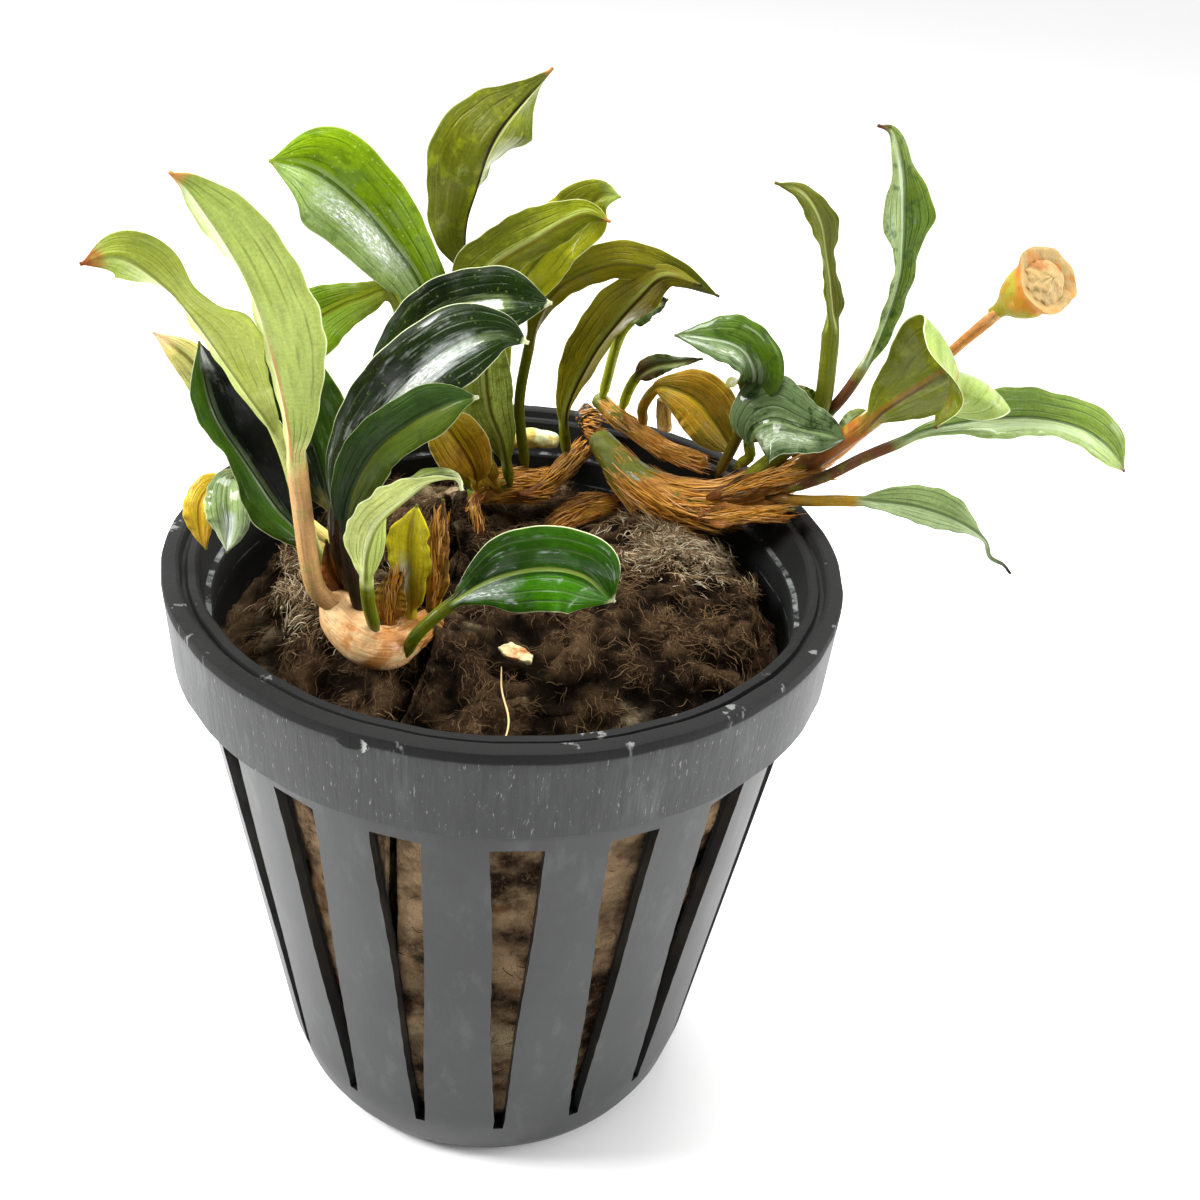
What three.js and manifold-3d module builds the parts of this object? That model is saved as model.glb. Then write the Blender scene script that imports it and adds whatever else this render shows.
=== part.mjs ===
// Potted bucephalandra: a slotted net pot, two lumps of mineral wool, creeping stems, and leaves in three clumps.
// Millimetres, +Z up. The origin is the centre of the pot's base. +X is to the right, +Y is to the back.

import * as THREE from "three";
import { mergeVertices } from "three/addons/utils/BufferGeometryUtils.js";
import Module from "manifold-3d";

const wasm = await Module();
wasm.setup();

// Driving dimensions of the pot
const POT_HEIGHT = 50;
const RIM_RADIUS = 25;
const BAND_HEIGHT = 7;
const BAND_BOTTOM_RADIUS = 24.8;
const BODY_TOP_RADIUS = 23.3;
const BODY_BOTTOM_RADIUS = 17.7;
const WALL = 1.1;
const BASE_THICKNESS = 1.6;
const POT_SIDES = 36;
const SLOT_COUNT = 18;
const SLOT_TOP = 40.3;
const SLOT_BOTTOM = 5.2;
const SLOT_TOP_WIDTH = 3.6;
const SLOT_BOTTOM_WIDTH = 0.8;
const FIRST_SLOT_ANGLE = 3.5;
const DRAIN_SLOT_COUNT = 6;
const DRAIN_SLOT_INNER = 7;
const DRAIN_SLOT_OUTER = 14;
const DRAIN_SLOT_WIDTH = 1.8;

// Driving dimensions of the wool
const WOOL_BOTTOM = 2.2;
const WOOL_TOP = 46.2;
const WOOL_SIDES = 24;
const CREVICE_WIDTH = 0.8;

// Driving dimensions of the plant
const STALK_RADIUS = 0.45;
const BLADE_HALF_THICKNESS = 0.22;
const TIP_HALF_WIDTH = 0.12;
const LEAF_RING_SIDES = 6;
const STEM_RING_SIDES = 6;
const CLEARANCE = 0.3;
const BEND_REACH = 0.05;
const INNER_BEND_SHARE = 0.65;

const degrees = THREE.MathUtils.degToRad;
const clamp = THREE.MathUtils.clamp;
const lerp = THREE.MathUtils.lerp;

// Directions that a leaf's upper face can look in
const FRONT = [-0.07, -0.84, 0.54];
const BACK = [0.07, 0.84, -0.54];
const SKY = [0, 0.2, 1];

const finish = (color, roughness) => new THREE.MeshStandardMaterial({ color, roughness, metalness: 0 });

const FINISHES = {
  pot: () => finish(0x3c4042, 0.5),
  wool: () => finish(0x5a4632, 1),
  stem: () => finish(0x8a6a2c, 0.6),
  cream: () => finish(0xc8935a, 0.5),
  broken: () => finish(0x2e1f16, 0.9),
  sheath: () => finish(0x8f5a24, 0.7),
  yellow: () => finish(0xb8a52e, 0.4),
  root: () => finish(0x7a4f27, 0.8),
  pale: () => finish(0xa8bd66, 0.45),
  dark: () => finish(0x163a14, 0.25),
  bright: () => finish(0x5f9a2a, 0.3),
  olive: () => finish(0x7c8420, 0.4),
  flower: () => finish(0xc48a34, 0.6),
  chip: () => finish(0xd8bd8c, 0.8),
};

// Solids and meshes

function toSolid(geometry) {
  const bare = geometry.clone();
  bare.deleteAttribute("normal");
  bare.deleteAttribute("uv");
  const welded = mergeVertices(bare, 1e-4);
  return new wasm.Manifold(new wasm.Mesh({
    numProp: 3,
    vertProperties: new Float32Array(welded.attributes.position.array),
    triVerts: new Uint32Array(welded.index.array),
  }));
}

function toGeometry(solid) {
  const mesh = solid.getMesh();
  const geometry = new THREE.BufferGeometry();
  geometry.setAttribute("position", new THREE.BufferAttribute(new Float32Array(mesh.vertProperties), 3));
  geometry.setIndex(new THREE.BufferAttribute(new Uint32Array(mesh.triVerts), 1));
  geometry.computeVertexNormals();
  return geometry;
}

function largestBody(solid) {
  const bodies = solid.decompose();
  return bodies.reduce((best, body) => (body.volume() > best.volume() ? body : best));
}

// A closed skin through rings of points, each ring counter-clockwise about the way the rings advance.
// The two halves of a ring split their quads along mirrored diagonals, so that a thin blade's faces stay apart.
function skin(rings) {
  const sides = rings[0].length;
  const positions = rings.flat().flatMap((point) => point.toArray());
  const index = [];
  for (let ring = 0; ring < rings.length - 1; ring += 1) {
    for (let side = 0; side < sides; side += 1) {
      const a = ring * sides + side;
      const b = ring * sides + ((side + 1) % sides);
      if (side < sides / 2) {
        index.push(a, b, a + sides, b, b + sides, a + sides);
      } else {
        index.push(a, b, b + sides, a, b + sides, a + sides);
      }
    }
  }
  const last = (rings.length - 1) * sides;
  for (let side = 1; side < sides - 1; side += 1) {
    index.push(0, side + 1, side);
    index.push(last, last + side, last + side + 1);
  }
  const geometry = new THREE.BufferGeometry();
  geometry.setAttribute("position", new THREE.Float32BufferAttribute(positions, 3));
  geometry.setIndex(index);
  return geometry;
}

function curveThrough(points) {
  return new THREE.CatmullRomCurve3(points.map((point) => new THREE.Vector3(...point)), false, "catmullrom", 0.5);
}

// The value at share x of a list of evenly spaced values, joined by straight lines.
function along(values, x) {
  const place = clamp(x, 0, 1) * (values.length - 1);
  const low = Math.min(Math.floor(place), values.length - 2);
  return lerp(values[low], values[low + 1], place - low);
}

// The same, joined by a smooth curve.
function alongSmooth(values, x) {
  const place = clamp(x, 0, 1) * (values.length - 1);
  const low = Math.min(Math.floor(place), values.length - 2);
  const f = place - low;
  const p1 = values[low];
  const p2 = values[low + 1];
  const p0 = low > 0 ? values[low - 1] : 2 * p1 - p2;
  const p3 = low + 2 < values.length ? values[low + 2] : 2 * p2 - p1;
  const a = (p2 - p0) / 2;
  const b = (p3 - p1) / 2;
  return (2 * p1 - 2 * p2 + a + b) * f ** 3 + (-3 * p1 + 3 * p2 - 2 * a - b) * f ** 2 + a * f + p1;
}

// Leaves: a round stalk that widens into a folded, wavy blade

const BLADE_STATIONS = [0.09, 0.24, 0.4, 0.56, 0.72, 0.88, 1];
const SHEATH_STATIONS = [0.15, 0.45, 0.75, 1];

function leafStations(leaf) {
  const blade = leaf.stations.map((share) => lerp(leaf.stalk, 1, share));
  return leaf.stalk > 0.34 ? [0, leaf.stalk / 2, leaf.stalk, ...blade] : [0, leaf.stalk, ...blade];
}

// The first point of a ring lies half a step up from the margin, so that the section is widest there.
const MARGIN_COSINE = Math.cos(Math.PI / LEAF_RING_SIDES);

// How strongly the route bends, per millimetre, as a vector towards the inside of the bend.
function bendOf(route, s) {
  const before = clamp(s - BEND_REACH, 0, 1);
  const after = clamp(s + BEND_REACH, 0, 1);
  const change = route.getTangentAt(after).sub(route.getTangentAt(before));
  return change.divideScalar((after - before) * route.getLength());
}

function leafRing(leaf, route, s, spare) {
  const share = clamp((s - leaf.stalk) / (1 - leaf.stalk), 0, 1);
  const grown = Math.min(1, share / 0.12);
  const centre = route.getPointAt(s);
  const tangent = route.getTangentAt(s);
  const face = new THREE.Vector3(...leaf.facing);
  face.addScaledVector(tangent, -face.dot(tangent)).normalize();
  face.applyAxisAngle(tangent, degrees(along(leaf.turn, share)));
  const side = new THREE.Vector3().crossVectors(tangent, face);

  const outline = alongSmooth([0, ...leaf.outline, 0], share) * leaf.width / 2;
  const stalk = leaf.stalkRadius * Math.sqrt(1 - share);
  const halfWidth = Math.max(outline, stalk, TIP_HALF_WIDTH);
  const bend = bendOf(route, s);
  const thickness = lerp(leaf.stalkRadius, lerp(BLADE_HALF_THICKNESS, TIP_HALF_WIDTH, share), grown) + spare;
  const fold = degrees(along(leaf.fold, share)) * grown;

  const ring = [];
  for (let k = 0; k < LEAF_RING_SIDES; k += 1) {
    const angle = (2 * Math.PI * (k + 0.5)) / LEAF_RING_SIDES;
    const u = Math.cos(angle) / MARGIN_COSINE;
    const reach = (halfWidth + spare) * u;
    const ripple = leaf.wave * Math.sin(2 * Math.PI * leaf.waves * share + leaf.phase + (u > 0 ? 0 : 1.7));
    const lift = Math.abs(reach) * Math.sin(fold) + ripple * u * u * Math.sin(Math.PI * share);
    const offset = side.clone().multiplyScalar(reach * Math.cos(fold)).addScaledVector(face, lift);
    const inwards = bend.dot(offset);
    offset.multiplyScalar(inwards > INNER_BEND_SHARE ? INNER_BEND_SHARE / inwards : 1);
    ring.push(centre.clone().add(offset).addScaledVector(face, thickness * Math.sin(angle)));
  }
  return ring.reverse();
}

function leafGeometry(leaf, spare = 0) {
  const route = curveThrough(leaf.route);
  return skin(leafStations(leaf).map((s) => leafRing(leaf, route, s, spare)));
}

const LEAF_DEFAULTS = {
  stations: BLADE_STATIONS,
  facing: FRONT,
  turn: [0, 0, 0],
  fold: [15, 15, 15],
  outline: [0.55, 0.88, 1, 0.92, 0.65],
  wave: 0.25,
  waves: 2,
  phase: 0,
  stalkRadius: STALK_RADIUS,
};

const SHEATH_DEFAULTS = { stations: SHEATH_STATIONS, stalk: 0.03, fold: [25, 25, 25], wave: 0.12 };

// Stems, roots and stalks: a round or flattened tube whose radius changes along its route

function stemGeometry(stem, spare = 0) {
  const route = curveThrough(stem.route);
  const flat = stem.flat ?? 1;
  const rings = [];
  for (let step = 0; step <= stem.steps; step += 1) {
    const s = step / stem.steps;
    const centre = route.getPointAt(s);
    const tangent = route.getTangentAt(s);
    const up = new THREE.Vector3(...(stem.up ?? [0.1, 0.2, 1]));
    up.addScaledVector(tangent, -up.dot(tangent)).normalize();
    const side = new THREE.Vector3().crossVectors(tangent, up);
    const ring = [];
    for (let k = 0; k < STEM_RING_SIDES; k += 1) {
      const angle = (2 * Math.PI * k) / STEM_RING_SIDES;
      const knobs = 1 + (stem.knobs ?? 0) * Math.sin(3 * angle + 7 * s) * Math.sin(11 * s + angle);
      const radius = along(stem.radii, s) * knobs;
      ring.push(centre.clone()
        .addScaledVector(side, (radius + spare) * Math.cos(angle))
        .addScaledVector(up, (radius * flat + spare) * Math.sin(angle)));
    }
    rings.push(ring.reverse());
  }
  return skin(rings);
}

// Pot

function bodyRadius(z) {
  return lerp(BODY_BOTTOM_RADIUS, BODY_TOP_RADIUS, z / (POT_HEIGHT - BAND_HEIGHT));
}

function potProfile() {
  const bandBottom = POT_HEIGHT - BAND_HEIGHT;
  const innerTop = BODY_TOP_RADIUS - WALL + 0.3;
  const points = [
    [0, 0], [BODY_BOTTOM_RADIUS - 3, 0], [BODY_BOTTOM_RADIUS - 0.8, 0.7],
    [bodyRadius(4), 4], [bodyRadius(bandBottom), bandBottom],
    [BAND_BOTTOM_RADIUS, bandBottom], [RIM_RADIUS, POT_HEIGHT], [RIM_RADIUS - 1.1, POT_HEIGHT],
    [innerTop, POT_HEIGHT - 0.5], [innerTop - 0.1, POT_HEIGHT - 3],
    [innerTop - 0.7, POT_HEIGHT - 3.4],
    [bodyRadius(4) - WALL, 4], [BODY_BOTTOM_RADIUS - 2.4, BASE_THICKNESS], [0, BASE_THICKNESS],
  ];
  return points.map(([radius, z]) => new THREE.Vector2(radius, z));
}

function lathe(profile, sides) {
  const geometry = new THREE.LatheGeometry(profile, sides);
  geometry.rotateX(Math.PI / 2);
  geometry.rotateZ(degrees(FIRST_SLOT_ANGLE - 180 / sides));
  return geometry;
}

// A slot cutter: a tall wedge with slightly uneven edges, pushed out through the wall.
function slotCutter(number) {
  const rows = 2;
  const left = [];
  const right = [];
  for (let row = 0; row <= rows; row += 1) {
    const share = row / rows;
    const half = lerp(SLOT_BOTTOM_WIDTH, SLOT_TOP_WIDTH, share) / 2;
    const z = lerp(SLOT_BOTTOM, SLOT_TOP, share);
    const uneven = 0.14 * Math.sin(2.3 * number + 2.9 * row);
    left.push(new THREE.Vector2(-half + uneven, z));
    right.push(new THREE.Vector2(half + 0.7 * uneven, z));
  }
  const cutter = new THREE.ExtrudeGeometry(new THREE.Shape([...right, ...left.reverse()]), {
    depth: 12,
    bevelEnabled: false,
  });
  cutter.rotateX(Math.PI / 2);
  cutter.translate(0, -14, 0);
  cutter.rotateZ(degrees(FIRST_SLOT_ANGLE + (360 / SLOT_COUNT) * number));
  return cutter;
}

// The space that the rim takes, with room around it, which the plant is kept out of.
function rimSpace() {
  const inner = BODY_TOP_RADIUS - WALL - 0.4 - CLEARANCE;
  const points = [[inner, 38], [RIM_RADIUS + CLEARANCE, 38], [RIM_RADIUS + CLEARANCE, POT_HEIGHT + CLEARANCE],
    [inner, POT_HEIGHT + CLEARANCE], [inner, 38]];
  return toSolid(lathe(points.map(([radius, z]) => new THREE.Vector2(radius, z)), POT_SIDES));
}

function drainCutter(number) {
  const length = DRAIN_SLOT_OUTER - DRAIN_SLOT_INNER;
  const cutter = new THREE.BoxGeometry(length, DRAIN_SLOT_WIDTH, 4 * BASE_THICKNESS);
  cutter.translate(DRAIN_SLOT_INNER + length / 2, 0, 0);
  cutter.rotateZ(degrees(FIRST_SLOT_ANGLE + (360 / DRAIN_SLOT_COUNT) * (number + 0.5)));
  return cutter;
}

function potSolid() {
  let solid = toSolid(lathe(potProfile(), POT_SIDES));
  for (let number = 0; number < SLOT_COUNT; number += 1) {
    solid = solid.subtract(toSolid(slotCutter(number)));
  }
  for (let number = 0; number < DRAIN_SLOT_COUNT; number += 1) {
    solid = solid.subtract(toSolid(drainCutter(number)));
  }
  return solid;
}

// Wool: one plug that fits the pot loosely, with a lumpy top, torn in two along a wavy crevice

const WOOL_PROFILE = [
  [0, 0], [14.8, 0], [15.6, 0.03], [17.6, 0.36], [19.7, 0.7], [20.9, 0.92], [20.3, 0.975], [17.5, 0.99],
  [12, 1], [6, 1], [0, 1],
];

function woolLift(x, y) {
  const lumps = 0.5 * Math.sin(0.42 * x + 0.8) * Math.cos(0.37 * y) + 0.35 * Math.sin(0.71 * x - 0.55 * y);
  const mound = 1.0 * Math.exp(-((x - 10) ** 2 + (y - 1) ** 2) / 60) + 0.5 * Math.exp(-((x + 13) ** 2 + y ** 2) / 40)
    + 2.2 * Math.exp(-((x + 9) ** 2 + (y + 9) ** 2) / 30) + 1.2 * Math.exp(-((x - 13) ** 2 + (y - 10) ** 2) / 25);
  const hollow = -1.6 * Math.exp(-((x - 3) ** 2 + (y - 13) ** 2) / 30);
  const front = -1.4 * clamp((-y - 6) / 14, 0, 1);
  return lumps + mound + hollow + front;
}

function woolPlug() {
  const height = WOOL_TOP - WOOL_BOTTOM;
  const profile = WOOL_PROFILE.map(([radius, share]) => new THREE.Vector2(radius, WOOL_BOTTOM + share * height));
  const geometry = lathe(profile, WOOL_SIDES);
  const places = geometry.attributes.position;
  for (let i = 0; i < places.count; i += 1) {
    const [x, y, z] = [places.getX(i), places.getY(i), places.getZ(i)];
    const share = (z - WOOL_BOTTOM) / height;
    const radius = Math.hypot(x, y);
    const sideways = radius > 0 ? (x / radius) ** 2 : 0;
    const angle = Math.atan2(y, x);
    const shrink = 0.6 * sideways * share + 0.3 * (1 + Math.sin(5 * angle + 9 * share)) * (radius > 14 ? 1 : 0);
    const kept = radius > 0 ? (radius - shrink) / radius : 1;
    const lift = share > 0.9 ? woolLift(x, y) * (share > 0.97 ? 1 : 0.5) : 0;
    places.setXYZ(i, x * kept, y * kept, z + lift);
  }
  return toSolid(geometry);
}

function creviceCutter() {
  const points = [];
  const rows = 6;
  for (let row = 0; row <= rows; row += 1) {
    const y = lerp(-26, 26, row / rows);
    points.push(new THREE.Vector2(-5.3 + 0.07 * y + 0.7 * Math.sin(0.45 * y), y));
  }
  const near = points.map((point) => new THREE.Vector2(point.x - CREVICE_WIDTH / 2, point.y));
  const far = points.map((point) => new THREE.Vector2(point.x + CREVICE_WIDTH / 2, point.y));
  return toSolid(new THREE.ExtrudeGeometry(new THREE.Shape([...far, ...near.reverse()]), {
    depth: POT_HEIGHT + 10,
    bevelEnabled: false,
  }));
}

// Routes of the stems, from the oldest end to the youngest

const STEMS = {
  broken_stem_end: {
    finish: "broken", route: [[5.6, 19.9, 50.4], [6.4, 19.8, 50.9], [7.2, 19.4, 50.9]],
    radii: [0.9, 1.5, 0.9], steps: 4, knobs: 0.2,
  },
  rhizome_left: {
    finish: "cream",
    route: [[-5, -6.8, 47.5], [-6.4, -9.6, 47.8], [-8.2, -12, 48.2], [-9.8, -11.9, 48.9], [-11.2, -10.3, 49.6],
      [-11.3, -8, 49.8], [-10.6, -5.4, 49.5]],
    radii: [0.8, 1.2, 1.45, 1.55, 1.5, 1.3, 0.8], steps: 11, knobs: 0.06,
  },
  rhizome_centre: {
    finish: "stem", route: [[-3.6, 12.4, 46.9], [-1.4, 13.4, 47.4], [1, 14.3, 47.2], [2.6, 15.4, 47]],
    radii: [0.8, 1.4, 1.3, 0.9], steps: 5, knobs: 0.15,
  },
  rhizome_right_lower: {
    finish: "stem",
    route: [[7.2, 18.4, 50.2], [8.6, 15.6, 49.6], [10.6, 12.6, 48.8], [13.4, 10.8, 48.5], [16.4, 9.6, 49.2],
      [19, 8.8, 50.8], [21, 8.2, 52.2], [22.6, 8, 53.4]],
    radii: [1, 1.4, 1.8, 1.95, 1.85, 1.45, 1.1, 0.8], steps: 12, knobs: 0.08,
  },
  rhizome_right_upper: {
    finish: "stem",
    route: [[7, 20.6, 53], [8.4, 18.8, 52.4], [9.8, 17.3, 52], [11.8, 14.4, 51.8], [13.8, 12.3, 51.8], [15.8, 11, 52]],
    radii: [0.7, 0.8, 0.75, 0.75, 0.7, 0.5], steps: 9, knobs: 0.1,
  },
  rhizome_link: {
    finish: "root", route: [[0.4, 12.6, 47.2], [1.8, 13, 47.2], [4, 15.2, 48.2], [6, 18, 49.2]],
    radii: [0.5, 0.75, 0.8, 0.7], steps: 6, knobs: 0.15,
  },
  stem_back: {
    finish: "yellow", route: [[-1.2, 19.6, 48.6], [1.5, 20.2, 48.9], [4, 20, 48.8]],
    radii: [0.7, 0.9, 0.6], steps: 4, knobs: 0.1,
  },
  root_flat: {
    finish: "root", route: [[9.2, 13, 46.8], [7.2, 11.8, 47.1], [5.2, 10.8, 46.6], [3.6, 10, 45.6]],
    radii: [0.7, 1.15, 0.95, 0.4], flat: 0.35, up: [-0.2, -0.7, 0.8], steps: 6,
  },
  root_centre: {
    finish: "root", route: [[-2.2, 12.4, 47.6], [-3, 10.6, 47.4], [-2.6, 9, 46.2], [-2.2, 8, 44.4]],
    radii: [0.45, 0.5, 0.4, 0.25], steps: 5,
  },
  root_right: {
    finish: "root", route: [[12, 10.4, 47.2], [12.4, 8.8, 46.6], [12, 7.8, 45.4], [11.8, 7.4, 43.8]],
    radii: [0.4, 0.45, 0.35, 0.2], steps: 5,
  },
  cut_stalk_right: {
    finish: "sheath", route: [[12.6, 15.2, 52.6], [12.4, 15, 54], [12.2, 14.8, 55.8]],
    radii: [0.75, 0.7, 0.65], flat: 0.6, steps: 3,
  },
  flower_stalk: {
    finish: "flower",
    route: [[23.2, 8.6, 52.9], [25.6, 9.2, 53.9], [27.8, 9.6, 56], [30.6, 9.7, 59], [33.4, 9.5, 63.2], [36.2, 9.1, 66.8]],
    radii: [0.5, 0.45, 0.42, 0.4, 0.42, 0.5], steps: 9,
  },
};

// Leaf sheaths: short, thick, leaf-like bracts at the foot of the leaves

const SHEATHS = {
  sheath_left_brown: {
    finish: "sheath", route: [[-10.9, -9.2, 50.6], [-11.7, -9.4, 52.8], [-12.1, -9.5, 55]],
    width: 1.7, outline: [0.9, 1, 0.9, 0.7, 0.4],
  },
  sheath_left_torn: {
    finish: "sheath", route: [[-7.8, -10.8, 49.2], [-7.8, -10, 51], [-7.3, -9.3, 53]],
    width: 2.2, outline: [0.8, 1, 0.95, 0.85, 0.6],
  },
  sheath_left_inner: {
    finish: "sheath", route: [[-5.2, -7.8, 48.6], [-4.9, -7.5, 51.4], [-4.8, -7.1, 54.4], [-4.6, -6.8, 57]],
    width: 1.9, outline: [0.7, 1, 0.8, 1, 0.6],
  },
  sheath_left_yellow: {
    finish: "yellow", route: [[-6.6, -9.4, 49], [-6.6, -9.1, 52.4], [-6.6, -8.9, 55.2], [-6.2, -8.8, 57.6]],
    width: 2.9, outline: [0.75, 0.85, 1, 1, 0.85],
  },
  sheath_centre_yellow: {
    finish: "yellow", route: [[-1.4, 12, 48.2], [-2.4, 11.4, 49.8], [-4, 10.6, 51.8], [-5.6, 10, 53.6]],
    width: 2.8, outline: [0.8, 1, 1, 0.9, 0.7],
  },
  sheath_right_low: {
    finish: "sheath", route: [[15.4, 7.8, 48.6], [18, 6.2, 49.8], [20, 5, 50.7], [22.2, 4.4, 51.6]],
    width: 1.9, outline: [0.9, 1, 0.8, 0.5, 0.25],
  },
  sheath_right_fibrous: {
    finish: "sheath", route: [[16.4, 7.4, 50.9], [19.4, 6.4, 52.7], [22, 6, 53.3], [25.2, 5, 54.4]],
    width: 1.7, outline: [0.9, 1, 0.85, 0.6, 0.3],
  },
  bract_right: {
    finish: "olive", route: [[23.5, 9.7, 57.2], [22.8, 10, 58.6], [21.8, 10.2, 59.6]],
    width: 1.8, outline: [0.8, 1, 0.9, 0.65, 0.4],
  },
};

// Leaves, from the foot of the stalk to the tip

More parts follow.
